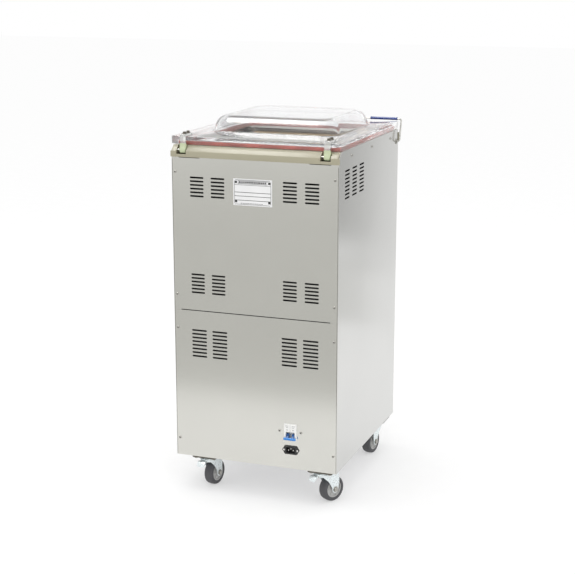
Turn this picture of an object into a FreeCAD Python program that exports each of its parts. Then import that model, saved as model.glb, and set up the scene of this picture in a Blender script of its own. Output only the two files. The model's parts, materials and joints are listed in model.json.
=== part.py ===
import FreeCAD, Part
import math
import os
import re
import Sketcher
from FreeCAD import Placement, Rotation, Vector

# Floor-standing single-chamber vacuum packing machine on four braked castors.
# Frame: millimetres, +Z up, floor at z = 0, the cabinet's centre on the Z axis,
# its front towards -Y and its back towards +Y. Heights in the sheet are above the floor.

doc = FreeCAD.newDocument("vacuum_sealer")
dims = doc.addObject("Spreadsheet::Sheet", "Dims")

DIMENSIONS = [
    # cabinet
    ("cab_w", 490), ("cab_d", 577), ("base_z", 105), ("cab_top", 1012), ("sheet", 1.5), ("seam", 0.2),
    ("tray_high", 30), ("tray_wall", 2), ("corner_cut", 16), ("corner_drop", 15),
    # rear and front panels
    ("rear_seam", 543), ("rear_top", 989), ("seam_gap", 2.2), ("seam_half", 223),
    ("control_low", 746), ("control_top", 974.5),
    # air vents
    ("vent_high", 5), ("vent_pitch", 10.5), ("low_vent_pitch", 10.9), ("vent_long", 41),
    ("low_vent_long", 45.5),
    # rails along the top edges
    ("rail_half", 243.3), ("lip_half", 247.5), ("lip_out", 294.5), ("lip_in", 288.8),
    ("lip_low", 981.5), ("lip_top", 998), ("deck_z", 1013), ("rail_ridge", 277), ("rail_inner", 262),
    ("rail_under", 989.5), ("nose_low", 975), ("nose_top", 1002), ("slot_wide", 30), ("slot_back", 272),
    ("hinge_x", 211), ("slot_shift", 3),
    # lid
    ("pivot_y", 284), ("pivot_z", 1000), ("lid_w", 500), ("lid_back", 284), ("lid_front", 279.5),
    ("lid_z", 1016.5), ("lid_thick", 21), ("lid_corner", 12), ("dome_x", 390), ("dome_y", 364),
    ("dome_mid", -19), ("dome_rise", 45.5), ("dome_taper", 20), ("dome_wall", 8), ("dome_corner", 56),
    ("dome_round", 34),
    ("gasket_inset", 12), ("gasket_wide", 8), ("gasket_z", 1013.4), ("groove_deep", 9),
    ("arm_wide", 20), ("arm_out", 287.5), ("bolt_back", 274), ("bolt_front", 250), ("knuckle_r", 8.5),
    ("pin_r", 3), ("running", 0.05),
    # vacuum chamber
    ("chamber_x", 430), ("chamber_y", 436), ("chamber_deep", 80), ("chamber_wall", 3), ("chamber_round", 28),
    ("bar_y", 203), ("bar_long", 400), ("bar_wide", 20), ("bar_z", 960), ("bar_high", 35),
    # locking lever
    ("lever_x", 255), ("lever_y", 268), ("lever_z", 976), ("grip_y", 285.5), ("grip_z", 1042.5),
    ("rod_r", 2.4), ("grip_r", 4.5), ("grip_in", 158), ("grip_out", 243), ("rod_end", 141), ("rod_bend", 7),
    ("bush_r", 5),
    # castors
    ("castor_x", 178), ("castor_front_x", 190), ("castor_mid", 16), ("castor_rear", 250),
    ("castor_front", 222), ("castor_plate", 74), ("plate_thick", 5),
    ("wheel_r", 37.5), ("tyre_wide", 27), ("hub_r", 26), ("trail", 30), ("axle_r", 4),
    ("pedal_x", 27), ("pedal_drop", 19),
    # electrical fittings on the lower back panel
    ("breaker_w", 36), ("breaker_h", 48), ("breaker_x", -108), ("breaker_mid", 214), ("toggle_z", 204),
    ("toggle_y", 286), ("toggle_w", 26), ("inlet_w", 52), ("inlet_h", 27), ("inlet_x", -109),
    ("inlet_mid", 161),
    # controls on the front
    ("control_mid", 880), ("gauge_r", 30), ("gauge_x", -150), ("stop_r", 15), ("stop_x", 160),
    ("overlay_w", 130), ("overlay_h", 84), ("overlay_x", 5), ("key_w", 15),
    # pump and hose
    ("port_r", 14), ("port_x", -120), ("port_y", 120), ("pump_x", 30), ("pump_y", 20), ("motor_r", 78),
]
LONGEST_FIRST = sorted((name for name, _ in DIMENSIONS), key=len, reverse=True)
ALIASES = re.compile(r"(?<![\w.])(%s)(?!\w)" % "|".join(LONGEST_FIRST))

for row, (alias, value) in enumerate(DIMENSIONS, start=1):
    dims.set("A%d" % row, alias)
    dims.set("B%d" % row, str(value))
    dims.setAlias("B%d" % row, alias)
doc.recompute()

TURN = {"X": Rotation(Vector(0, 1, 0), 90), "-X": Rotation(Vector(0, 1, 0), -90),
        "Y": Rotation(Vector(1, 0, 0), -90), "-Y": Rotation(Vector(1, 0, 0), 90),
        "Z": Rotation(), "-Z": Rotation(Vector(1, 0, 0), 180)}
SUB_PARTS = []


# ---------------------------------------------------------------- small helpers

def words(expression):
    """Turn the sheet's plain names in an expression into references to its cells."""
    return ALIASES.sub(r"Dims.\1", str(expression))


def num(expression):
    """The present value of an expression of the sheet's names."""
    return float(dims.evalExpression(words(expression)))


def bind(thing, **sizes):
    for prop, expression in sizes.items():
        thing.setExpression(prop, words(expression))


def move(thing, x="0", y="0", z="0", turn=None):
    if turn is not None:
        thing.Placement = Placement(Vector(), turn)
    for axis, expression in (("x", x), ("y", y), ("z", z)):
        thing.setExpression(".Placement.Base." + axis, words(expression))


def keep(thing, label):
    """List a finished sub-part under the name of its file."""
    thing.Label = label
    SUB_PARTS.append(thing)
    return thing


def box(size, low):
    thing = doc.addObject("Part::Box", "box")
    bind(thing, Length=size[0], Width=size[1], Height=size[2])
    move(thing, *low)
    return thing


def block(size, middle, low_z):
    """A box centred on middle in X and Y, standing on low_z."""
    corner = ["(%s) - (%s) / 2" % pair for pair in zip(middle, size)]
    return box(size, (corner[0], corner[1], low_z))


def rod(radius, length, start, axis="Z"):
    thing = doc.addObject("Part::Cylinder", "rod")
    bind(thing, Radius=radius, Height=length)
    move(thing, *start, turn=TURN[axis])
    return thing


def cone(radius_1, radius_2, length, start, axis="Z"):
    thing = doc.addObject("Part::Cone", "cone")
    bind(thing, Radius1=radius_1, Radius2=radius_2, Height=length)
    move(thing, *start, turn=TURN[axis])
    return thing


def fuse(shapes):
    thing = doc.addObject("Part::MultiFuse", "fuse")
    thing.Shapes = shapes
    return thing


def cut(base, tool):
    thing = doc.addObject("Part::Cut", "cut")
    thing.Base = base
    thing.Tool = tool
    return thing


def group(shapes):
    """Separate solids that share one node."""
    thing = doc.addObject("Part::Compound", "group")
    thing.Links = shapes
    return thing


def body(label):
    return keep(doc.addObject("PartDesign::Body", label), label)


def sketch(host, role, rise="0"):
    """A sketch on one of the body's own origin planes, raised along that plane's normal."""
    plane = next(item for item in host.Origin.OriginFeatures if item.Role == role)
    flat = host.newObject("Sketcher::SketchObject", host.Name + "_sketch")
    flat.AttachmentSupport = [(plane, "")]
    flat.MapMode = "FlatFace"
    flat.setExpression(".AttachmentOffset.Base.z", words(rise))
    return flat


def fix(flat, kind, *where, value=None):
    """Add a constraint, and drive it from the sheet when a value is given."""
    if value is None:
        return flat.addConstraint(Sketcher.Constraint(kind, *where))
    index = flat.addConstraint(Sketcher.Constraint(kind, *where, num(value)))
    flat.setExpression("Constraints[%d]" % index, words(value))
    return index


def outline(flat, points):
    """A closed outline of straight lines through points given as expressions."""
    spots = [Vector(num(x), num(y), 0) for x, y in points]
    first = flat.GeometryCount
    count = len(spots)
    for k in range(count):
        flat.addGeometry(Part.LineSegment(spots[k], spots[(k + 1) % count]), False)
    for k in range(count):
        fix(flat, "Coincident", first + k, 2, first + (k + 1) % count, 1)
        fix(flat, "DistanceX", -1, 1, first + k, 1, value=points[k][0])
        fix(flat, "DistanceY", -1, 1, first + k, 1, value=points[k][1])


def rectangle(flat, width, height, mid=("0", "0")):
    halves = "(%s) / 2" % width, "(%s) / 2" % height
    corners = [(-1, -1), (1, -1), (1, 1), (-1, 1)]
    outline(flat, [("(%s) + %d * %s" % (mid[0], a, halves[0]), "(%s) + %d * %s" % (mid[1], b, halves[1]))
                   for a, b in corners])


def circle(flat, radius, mid=("0", "0")):
    centre = Vector(num(mid[0]), num(mid[1]), 0)
    index = flat.addGeometry(Part.Circle(centre, Vector(0, 0, 1), num(radius)), False)
    fix(flat, "Radius", index, value=radius)
    fix(flat, "DistanceX", -1, 1, index, 3, value=mid[0])
    fix(flat, "DistanceY", -1, 1, index, 3, value=mid[1])


def slot(flat, length, height, mid):
    """A round-ended slot along the sketch's X axis."""
    half = num(length) / 2 - num(height) / 2
    radius = num(height) / 2
    cx, cy = num(mid[0]), num(mid[1])
    up = Vector(0, 0, 1)
    quarter = math.pi / 2
    right = Part.ArcOfCircle(Part.Circle(Vector(cx + half, cy, 0), up, radius), -quarter, quarter)
    left = Part.ArcOfCircle(Part.Circle(Vector(cx - half, cy, 0), up, radius), quarter, 3 * quarter)
    top = Part.LineSegment(Vector(cx + half, cy + radius, 0), Vector(cx - half, cy + radius, 0))
    low = Part.LineSegment(Vector(cx - half, cy - radius, 0), Vector(cx + half, cy - radius, 0))
    r, t, l, b = [flat.addGeometry(piece, False) for piece in (right, top, left, low)]
    for joint in ((r, 2, t, 1), (t, 2, l, 1), (l, 2, b, 1), (b, 2, r, 1)):
        fix(flat, "Tangent", *joint)
    fix(flat, "Radius", r, value="(%s) / 2" % height)
    fix(flat, "DistanceX", -1, 1, r, 3, value="(%s) + (%s) / 2 - (%s) / 2" % (mid[0], length, height))
    fix(flat, "DistanceX", -1, 1, l, 3, value="(%s) - (%s) / 2 + (%s) / 2" % (mid[0], length, height))
    fix(flat, "DistanceY", -1, 1, r, 3, value=mid[1])
    fix(flat, "Horizontal", t)


def rounded(flat, width, height, radius, mid=("0", "0")):
    """A rectangle with round corners."""
    up = Vector(0, 0, 1)
    half_x, half_y, r = num(width) / 2, num(height) / 2, num(radius)
    cx, cy = num(mid[0]), num(mid[1])
    right_angle = math.pi / 2
    arcs = []
    for k, (a, b) in enumerate(((1, 1), (-1, 1), (-1, -1), (1, -1))):
        centre = Vector(cx + a * (half_x - r), cy + b * (half_y - r), 0)
        arc = Part.ArcOfCircle(Part.Circle(centre, up, r), k * right_angle, (k + 1) * right_angle)
        arcs.append(flat.addGeometry(arc, False))
        fix(flat, "Radius", arcs[-1], value=radius)
        offset = "(%s) + %d * ((%s) / 2 - (%s))"
        fix(flat, "DistanceX", -1, 1, arcs[-1], 3, value=offset % (mid[0], a, width, radius))
        fix(flat, "DistanceY", -1, 1, arcs[-1], 3, value=offset % (mid[1], b, height, radius))
    for k in range(4):
        start, end = flat.Geometry[arcs[k]].EndPoint, flat.Geometry[arcs[(k + 1) % 4]].StartPoint
        line = flat.addGeometry(Part.LineSegment(start, end), False)
        fix(flat, "Tangent", arcs[k], 2, line, 1)
        fix(flat, "Tangent", line, 2, arcs[(k + 1) % 4], 1)


def pad(host, flat, length, both=False, back=False, taper=None):
    feature = host.newObject("PartDesign::Pad", host.Name + "_pad")
    feature.Profile = flat
    bind(feature, Length=length)
    feature.Midplane = both
    feature.Reversed = back
    if taper is not None:
        bind(feature, TaperAngle=taper)
    doc.recompute()
    return feature


def pocket(host, flat, depth, along=False, taper=None):
    """Cut a sketch into the body, against its normal unless told along it or nothing lies that way."""
    before = host.Shape.Volume
    feature = host.newObject("PartDesign::Pocket", host.Name + "_pocket")
    feature.Profile = flat
    bind(feature, Length=depth)
    feature.Reversed = along
    if taper is not None:
        bind(feature, TaperAngle=taper)
    doc.recompute()
    if not host.Shape.Volume < before - 0.01:
        feature.Reversed = not feature.Reversed
        doc.recompute()
    assert host.Shape.Volume < before - 0.01, host.Name
    return feature


def repeat(host, feature, flat, count, pitch):
    """Repeat a cut upwards along the sketch's vertical axis."""
    pattern = host.newObject("PartDesign::LinearPattern", host.Name + "_pattern")
    pattern.Originals = [feature]
    pattern.Direction = (flat, ["V_Axis"])
    bind(pattern, Length="%d * (%s)" % (count - 1, pitch))
    pattern.Occurrences = count
    host.Tip = pattern
    doc.recompute()
    return pattern


def soften(host, feature, edges, radius):
    feature_fillet = host.newObject("PartDesign::Fillet", host.Name + "_fillet")
    feature_fillet.Base = (feature, edges)
    bind(feature_fillet, Radius=radius)
    doc.recompute()
    return feature_fillet


def edges_where(shape, test):
    return ["Edge%d" % k for k, edge in enumerate(shape.Edges, start=1) if test(edge)]


# ---------------------------------------------------------------- cabinet

def base_frame():
    deep = "cab_d - 2 * sheet - 2 * seam"
    outer = block(("2 * rail_half", deep, "tray_high"), ("0", "0"), "base_z")
    inner = block(("2 * rail_half - 2 * tray_wall", deep + " - 2 * tray_wall", "tray_high"), ("0", "0"),
                  "base_z + tray_wall")
    keep(cut(outer, inner), "base_frame")


def side_panel(label, side):
    """A folded side sheet with its back corner cut away, and three columns of vents."""
    panel = body(label)
    reach = "cab_d / 2 - sheet - seam"
    flat = sketch(panel, "YZ_Plane", "%d * cab_w / 2" % side)
    outline(flat, [("-(%s)" % reach, "base_z"), (reach, "base_z"), (reach, "cab_top - corner_drop"),
                   ("(%s) - corner_cut" % reach, "cab_top"), ("-(%s)" % reach, "cab_top")])
    pad(panel, flat, "sheet", back=side > 0)
    for column in (83, 148.8, 214.6):
        hole = sketch(panel, "YZ_Plane", "%d * cab_w / 2" % side)
        slot(hole, "vent_long", "vent_high", (str(column), "base_z + 776.5"))
        repeat(panel, pocket(panel, hole, "2 * sheet"), hole, 8, "vent_pitch + 0.2")
    return panel


def flat_panel(label, back, low, high, notch=False):
    """A full-width upright sheet on the back (+Y) or front (-Y) of the cabinet."""
    panel = body(label)
    outside = "cab_d / 2"
    flat = sketch(panel, "XZ_Plane", "-(%s)" % outside if back else outside)
    half = "cab_w / 2"
    corners = [("-" + half, low), (half, low), (half, high), ("-" + half, high)]
    if notch:
        corners = [("-" + half, low), ("-seam_half", low), ("-seam_half", "(%s) + seam_gap" % low),
                   ("seam_half", "(%s) + seam_gap" % low), ("seam_half", low)] + corners[1:]
    outline(flat, corners)
    pad(panel, flat, "sheet", back=not back)
    return panel


def panel_vents(panel, columns, low, length, count, pitch):
    for column in columns:
        hole = sketch(panel, "XZ_Plane", "-cab_d / 2")
        slot(hole, length, "vent_high", (str(column), low))
        repeat(panel, pocket(panel, hole, "2 * sheet"), hole, count, pitch)


def panel_hole(panel, back, width, height, mid):
    hole = sketch(panel, "XZ_Plane", "-cab_d / 2" if back else "cab_d / 2")
    rectangle(hole, width, height, mid)
    pocket(panel, hole, "2 * sheet")


def round_hole(panel, radius, mid):
    hole = sketch(panel, "XZ_Plane", "cab_d / 2")
    circle(hole, radius, mid)
    pocket(panel, hole, "2 * sheet")


def cabinet_panels():
    side_panel("side_panel_left", 1)
    right = side_panel("side_panel_right", -1)
    lever_hole = sketch(right, "YZ_Plane", "-cab_w / 2")
    circle(lever_hole, "bush_r + running", ("-lever_y", "lever_z"))
    pocket(right, lever_hole, "2 * sheet")
    upper = flat_panel("rear_upper_panel", True, "rear_seam", "rear_top", notch=True)
    columns = (-169.5, -105.5, 107.5, 170)
    panel_vents(upper, columns, "base_z + 768", "vent_long", 6, "vent_pitch - 0.1")
    panel_vents(upper, columns, "base_z + 492", "vent_long", 6, "vent_pitch - 0.1")
    for side in (-1, 1):
        panel_hole(upper, True, "62", "12", ("%d * 192" % side, "rear_top - 4"))
    lower = flat_panel("rear_lower_panel", True, "base_z", "rear_seam - seam")
    panel_vents(lower, (-167, -104, 105.8, 168.5), "base_z + 304.5", "low_vent_long", 8, "low_vent_pitch")
    panel_hole(lower, True, "breaker_w + 1", "breaker_h + 1", ("breaker_x", "breaker_mid"))
    panel_hole(lower, True, "inlet_w - 11", "inlet_h - 5", ("inlet_x", "inlet_mid"))
    flat_panel("front_panel", False, "base_z", "control_low - seam")
    controls = flat_panel("control_panel", False, "control_low", "control_top")
    round_hole(controls, "gauge_r + 0.5", ("gauge_x", "control_mid"))
    round_hole(controls, "stop_r - 3", ("stop_x", "control_mid"))
    panel_hole(controls, False, "overlay_w - 10", "overlay_h - 10", ("overlay_x", "control_mid"))


def rail_profile(low):
    return [("lip_out", low), ("lip_out", "lip_top"), ("rail_ridge", "deck_z"), ("rail_inner", "deck_z"),
            ("rail_inner", "rail_under"), ("lip_in", "rail_under"), ("lip_in", low)]


def hinge_rail():
    """The thick bar along the top back edge, notched for the two hinges."""
    rail = body("hinge_rail")
    profile = sketch(rail, "YZ_Plane")
    outline(profile, rail_profile("lip_low"))
    pad(rail, profile, "2 * rail_half", both=True)
    lip = sketch(rail, "XY_Plane", "lip_low")
    rectangle(lip, "2 * lip_half", "lip_out - lip_in", ("0", "(lip_out + lip_in) / 2"))
    pad(rail, lip, "lip_top - lip_low")
    for side in (-1, 1):
        notch = sketch(rail, "XY_Plane", "rail_under")
        rectangle(notch, "slot_wide", "40", ("%d * hinge_x + slot_shift" % side, "slot_back + 20"))
        pocket(rail, notch, "40", along=True)
        bore = sketch(rail, "YZ_Plane", "%d * hinge_x - 22" % side)
        circle(bore, "pin_r", ("pivot_y", "pivot_z"))
        pocket(rail, bore, "44", along=True)
    pins = [rod("pin_r", "44", ("%d * hinge_x - 22" % side, "pivot_y", "pivot_z"), "X") for side in (-1, 1)]
    keep(group(pins), "hinge_pins")


def front_rail():
    """The matching nose bar along the top front edge."""
    rail = body("front_rail")
    profile = sketch(rail, "YZ_Plane")
    outline(profile, [("-lip_out", "nose_low"), ("-lip_out", "nose_top"), ("-rail_ridge", "deck_z"),
                      ("-rail_inner", "deck_z"), ("-rail_inner", "rail_under"), ("-lip_in", "rail_under"),
                      ("-lip_in", "nose_low")])
    pad(rail, profile, "2 * rail_half", both=True)
    lip = sketch(rail, "XY_Plane", "nose_low")
    rectangle(lip, "2 * lip_half", "lip_out - lip_in", ("0", "-(lip_out + lip_in) / 2"))
    pad(rail, lip, "nose_top - nose_low")


def vacuum_chamber():
    """The pressed steel tub with its flange, which is the deck that the lid closes on."""
    tub = body("vacuum_chamber")
    flange = sketch(tub, "XY_Plane", "deck_z - chamber_wall")
    rectangle(flange, "2 * rail_half", "2 * rail_inner - 2 * seam")
    pad(tub, flange, "chamber_wall")
    well = sketch(tub, "XY_Plane", "deck_z - chamber_wall")
    rounded(well, "chamber_x + 2 * chamber_wall", "chamber_y + 2 * chamber_wall",
            "chamber_round + chamber_wall")
    pad(tub, well, "chamber_deep", back=True)
    hollow = sketch(tub, "XY_Plane", "deck_z")
    rounded(hollow, "chamber_x", "chamber_y", "chamber_round")
    pocket(tub, hollow, "chamber_deep")
    port = sketch(tub, "XY_Plane", "deck_z - chamber_deep")
    circle(port, "port_r", ("port_x", "port_y"))
    pocket(tub, port, "2 * chamber_wall")


def screw(spot, out, into):
    """A pan head standing on spot, with its shank running the other way."""
    return fuse([cone("4", "2.6", "2.2", spot, out), rod("1.9", "8", spot, into)])


def panel_screws():
    back = "cab_d / 2"
    side = "cab_w / 2"
    heads = []
    for height in (834, 483, 385, 52):
        for x in (-235, 235):
            heads.append(screw((str(x), back, "base_z + %d" % height), "Y", "-Y"))
            heads.append(screw((str(x), "-" + back, "base_z + %d" % height), "-Y", "Y"))
    for y in (175.6, -14.7, -203.7):
        heads.append(screw((side, str(y), "base_z + 887.5"), "X", "-X"))
        heads.append(screw(("-" + side, str(y), "base_z + 887.5"), "-X", "X"))
    for x in (-75, -139):
        heads.append(screw((str(x), back, "base_z + 110.5"), "Y", "-Y"))
    keep(group(heads), "panel_screws")


def rating_plate():
    plate = block(("114", "0.6", "74"), ("3", "cab_d / 2 + 0.3"), "base_z + 750.5")
    rivets = [rod("1.8", "1.1", ("3 + %d * 53" % a, "cab_d / 2 + 0.6", "base_z + 787.5 + %d * 33" % b), "Y")
              for a in (-1, 1) for b in (-1, 1)]
    keep(fuse([plate] + rivets), "rating_plate")


# ---------------------------------------------------------------- lid

LID_MID = "(lid_back - lid_front) / 2"
LID_DEEP = "lid_back + lid_front"


def ring(flat, inset, wide):
    for edge in (inset, "%s + %s" % (inset, wide)):
        rounded(flat, "lid_w - 2 * (%s)" % edge, "%s - 2 * (%s)" % (LID_DEEP, edge), "30 - (%s)" % edge,
                ("0", LID_MID))


def at_height(height):
    level = num(height)
    return lambda edge: max(abs(edge.BoundBox.ZMin - level), abs(edge.BoundBox.ZMax - level)) < 0.01


def lid_dome():
    """One clear moulding: a thick flat rim and a hollow raised dome."""
    lid = body("lid_dome")
    rim = sketch(lid, "XY_Plane", "lid_z")
    rounded(rim, "lid_w", LID_DEEP, "lid_corner", ("0", LID_MID))
    pad(lid, rim, "lid_thick")
    swell = sketch(lid, "XY_Plane", "lid_z + lid_thick")
    rounded(swell, "dome_x", "dome_y", "dome_corner", ("0", "dome_mid"))
    feature = pad(lid, swell, "dome_rise", taper="-dome_taper")
    top = edges_where(feature.Shape, at_height("lid_z + lid_thick + dome_rise"))
    soften(lid, feature, top, "dome_round")
    inner = ("dome_x - 2 * dome_wall", "dome_y - 2 * dome_wall", "dome_corner - dome_wall",
             ("0", "dome_mid"))
    opening = sketch(lid, "XY_Plane", "lid_z")
    rounded(opening, *inner)
    pocket(lid, opening, "lid_thick")
    hollow = sketch(lid, "XY_Plane", "lid_z + lid_thick")
    rounded(hollow, *inner)
    feature = pocket(lid, hollow, "dome_rise - dome_wall", taper="-dome_taper")
    ceiling = edges_where(feature.Shape, at_height("lid_z + lid_thick + dome_rise - dome_wall"))
    soften(lid, feature, ceiling, "dome_round - dome_wall")
    groove = sketch(lid, "XY_Plane", "lid_z")
    ring(groove, "gasket_inset - seam", "gasket_wide + 2 * seam")
    pocket(lid, groove, "groove_deep")
    for x in ("-hinge_x", "hinge_x"):
        for y in ("bolt_back", "bolt_front"):
            hole = sketch(lid, "XY_Plane", "lid_z + lid_thick")
            circle(hole, "2.9", (x, y))
            pocket(lid, hole, "10.5")


def lid_gasket():
    gasket = body("lid_gasket")
    flat = sketch(gasket, "XY_Plane", "gasket_z")
    ring(flat, "gasket_inset", "gasket_wide")
    pad(gasket, flat, "lid_z + groove_deep - seam - gasket_z")


def hinge_arm(label, side):
    """A bracket bolted on the lid, hooked over its back edge, ending in a bored knuckle."""
    arm = body(label)
    lid_top = "lid_z + lid_thick + 0.1"
    middle = "%d * hinge_x" % side
    flat = sketch(arm, "YZ_Plane", middle)
    outline(flat, [("pivot_y - knuckle_r", "pivot_z"), ("pivot_y + knuckle_r", "pivot_z"),
                   ("arm_out", "pivot_z + 10"), ("arm_out", lid_top + " + 3"),
                   ("arm_out - 3", lid_top + " + 6"), ("238", lid_top + " + 6"),
                   ("238", lid_top), ("lid_back + 0.4", lid_top), ("lid_back + 0.4", "lid_z - 0.4"),
                   ("pivot_y - knuckle_r", "pivot_z + 6")])
    pad(arm, flat, "arm_wide", both=True)
    knuckle = sketch(arm, "YZ_Plane", middle)
    circle(knuckle, "knuckle_r", ("pivot_y", "pivot_z"))
    pad(arm, knuckle, "arm_wide", both=True)
    bore = sketch(arm, "YZ_Plane", middle + " - arm_wide / 2")
    circle(bore, "pin_r + running", ("pivot_y", "pivot_z"))
    pocket(arm, bore, "arm_wide")
    for y in ("bolt_back", "bolt_front"):
        hole = sketch(arm, "XY_Plane", lid_top + " + 6")
        circle(hole, "2.9", (middle, y))
        pocket(arm, hole, "7")


def hinge_bolts():
    bolts = []
    for x in ("-hinge_x", "hinge_x"):
        for y in ("bolt_back", "bolt_front"):
            seat = "lid_z + lid_thick + 6.1"
            head = cut(rod("5", "5", (x, y, seat)), rod("2.5", "3", (x, y, seat + " + 2")))
            bolts.append(fuse([head, rod("2.8", "16", (x, y, seat + " - 16"))]))
    keep(group(bolts), "hinge_bolts")


def press_bars():
    bars = [block(("bar_long", "16", "8.5"), ("0", side + "bar_y"), "lid_z - 8.5") for side in ("-", "")]
    keep(group(bars), "press_bars")


# ---------------------------------------------------------------- inside the chamber

def seal_bar(label, side):
    """An aluminium bar with a heating strip groove on top and two lift stems below."""
    y = side + "bar_y"
    beam = block(("bar_long", "bar_wide", "bar_high"), ("0", y), "bar_z")
    strip = block(("bar_long - 10", "6", "1"), ("0", y), "bar_z + bar_high - 0.1")
    stems = [rod("5", "22.6", (x, y, "bar_z - 22.5")) for x in ("-140", "140")]
    keep(fuse([beam, strip] + stems), label)


def lift_cylinders():
    floor = "deck_z - chamber_deep"
    cylinders = []
    for y in ("-bar_y", "bar_y"):
        for x in ("-140", "140"):
            bore = rod("5 + running", "20", (x, y, floor + " + 4"))
            cylinders.append(cut(rod("9.5", "20", (x, y, floor)), bore))
    keep(group(cylinders), "lift_cylinders")


def filler_plate():
    plate = body("filler_plate")
    flat = sketch(plate, "XY_Plane", "deck_z - chamber_deep + 0.3")
    rounded(flat, "390", "350", "20")
    pad(plate, flat, "12")
    for x in (-140, 140):
        hole = sketch(plate, "XY_Plane", "deck_z - chamber_deep + 12.3")
        circle(hole, "14", (str(x), "0"))
        pocket(plate, hole, "13")


# ---------------------------------------------------------------- locking lever

def bent_path(flat, corners, radius):
    """Straight runs joined by round bends."""
    start = corners[0]
    for before, corner, after in zip(corners, corners[1:], corners[2:]):
        into = (before - corner).normalize()
        out = (after - corner).normalize()
        half = into.getAngle(out) / 2
        back = radius / math.tan(half)
        middle = corner + (into + out).normalize() * (radius / math.sin(half) - radius)
        flat.addGeometry(Part.LineSegment(start, corner + into * back), False)
        flat.addGeometry(Part.Arc(corner + into * back, middle, corner + out * back), False)
        start = corner + out * back
    flat.addGeometry(Part.LineSegment(start, corners[-1]), False)


def lock_lever():
    """A bent steel rod pivoting in the right side panel, with a plastic grip on its long arm."""
    rise = Vector(0, num("lever_y - grip_y"), num("grip_z - lever_z"))
    lever = body("lock_rod")
    move(lever, "0", "-lever_y", "lever_z", turn=Rotation(Vector(0, 0, 1), rise))
    path = sketch(lever, "XZ_Plane")
    out, end, reach = -num("lever_x"), -num("rod_end"), rise.Length
    corners = [Vector(-232, 0, 0), Vector(out, 0, 0), Vector(out, reach, 0), Vector(end, reach, 0)]
    bent_path(path, corners, num("rod_bend"))
    section = sketch(lever, "YZ_Plane", "-232")
    circle(section, "rod_r")
    pipe = lever.newObject("PartDesign::AdditivePipe", "lock_rod_pipe")
    pipe.Profile = section
    pipe.Spine = (path, ["Edge%d" % k for k in range(1, path.GeometryCount + 1)])
    doc.recompute()
    start = ("-grip_out", "-grip_y", "grip_z")
    length = "grip_out - grip_in"
    keep(cut(rod("grip_r", length, start, "X"), rod("rod_r + running", length, start, "X")), "lock_grip")
    outer = fuse([rod("bush_r", "8", ("-cab_w / 2 + 5", "-lever_y", "lever_z"), "-X"),
                  rod("8", "2", ("-cab_w / 2", "-lever_y", "lever_z"), "-X")])
    bore = rod("rod_r + running", "12", ("-cab_w / 2 + 6", "-lever_y", "lever_z"), "-X")
    keep(cut(outer, bore), "lock_bush")


# ---------------------------------------------------------------- electrical fittings

def circuit_breaker():
    """A two-pole breaker standing through the lower back panel, with a linked toggle."""
    back = "cab_d / 2"
    nose_low = "breaker_mid - breaker_h / 2"
    nose = block(("breaker_w", "70", "breaker_h"), ("breaker_x", back + " - 30"), nose_low)
    rear = block(("breaker_w", "45", "80"), ("breaker_x", back + " - 42.5"), "breaker_mid - 38.5")
    recess = block(("toggle_w + 1", "18", "24"), ("breaker_x", back), "toggle_z - 13")
    keep(cut(fuse([nose, rear]), recess), "breaker_body")
    barrel = rod("5", "toggle_w", ("breaker_x - toggle_w / 2", "toggle_y", "toggle_z"), "X")
    handle = box(("toggle_w", "13", "4"), ("breaker_x - toggle_w / 2", "toggle_y", "toggle_z - 2"))
    handle.Placement.Rotation = Rotation(Vector(1, 0, 0), -35)
    tie_bar = rod("2.8", "36", ("breaker_x - 18", "toggle_y + 12.5", "toggle_z - 8.3"), "X")
    keep(fuse([barrel, handle, tie_bar]), "breaker_toggle")


def power_inlet():
    """A flanged mains inlet with three flat blades inside its socket."""
    inlet = body("power_inlet")
    back = "cab_d / 2"
    flange = sketch(inlet, "XZ_Plane", "-(%s) - 3" % back)
    half_w, half_h = "inlet_w / 2", "inlet_h / 2"
    outline(flange, [("inlet_x + %d * (%s)" % (a, x), "inlet_mid + %d * %s" % (b, z)) for a, x, b, z in (
        (-1, half_w, 0, half_h), (-1, half_w + " - 9", -1, half_h), (1, half_w + " - 9", -1, half_h),
        (1, half_w, 0, half_h), (1, half_w + " - 9", 1, half_h), (-1, half_w + " - 9", 1, half_h))])
    pad(inlet, flange, "3")
    shell = sketch(inlet, "XZ_Plane", "-" + back)
    rectangle(shell, "inlet_w - 12", "inlet_h - 6", ("inlet_x", "inlet_mid"))
    pad(inlet, shell, "24")
    socket = sketch(inlet, "XZ_Plane", "-(%s) - 3" % back)
    rectangle(socket, "25", "17", ("inlet_x", "inlet_mid"))
    pocket(inlet, socket, "20")
    for x, z in ((0, 4), (-7, -1), (7, -1)):
        blade = sketch(inlet, "XZ_Plane", "-(%s) + 18" % back)
        rectangle(blade, "2", "4", ("inlet_x + %d" % x, "inlet_mid + %d" % z))
        pad(inlet, blade, "16", back=True)


# ---------------------------------------------------------------- front controls

def vacuum_gauge():
    front = "-cab_d / 2"
    case = fuse([rod("gauge_r", "26", ("gauge_x", front, "control_mid"), "Y"),
                 rod("gauge_r + 4", "4", ("gauge_x", front, "control_mid"), "-Y")])
    recess = rod("gauge_r - 1", "3", ("gauge_x", front + " - 1", "control_mid"), "-Y")
    keep(cut(case, recess), "vacuum_gauge")
    hub = rod("3", "1.6", ("gauge_x", front + " - 1.3", "control_mid"), "-Y")
    pointer = cone("0.8", "0.4", "23", ("gauge_x", front + " - 2.1", "control_mid"))
    pointer.Placement.Rotation = Rotation(Vector(0, 1, 0), -135)
    keep(fuse([hub, pointer]), "gauge_needle")


def stop_button():
    front = "-cab_d / 2"
    head = cone("stop_r", "stop_r - 4", "8", ("stop_x", front + " - 9", "control_mid"), "-Y")
    stem = rod("stop_r - 4", "20", ("stop_x", front + " + 10", "control_mid"), "-Y")
    keep(fuse([head, stem]), "stop_button")


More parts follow.
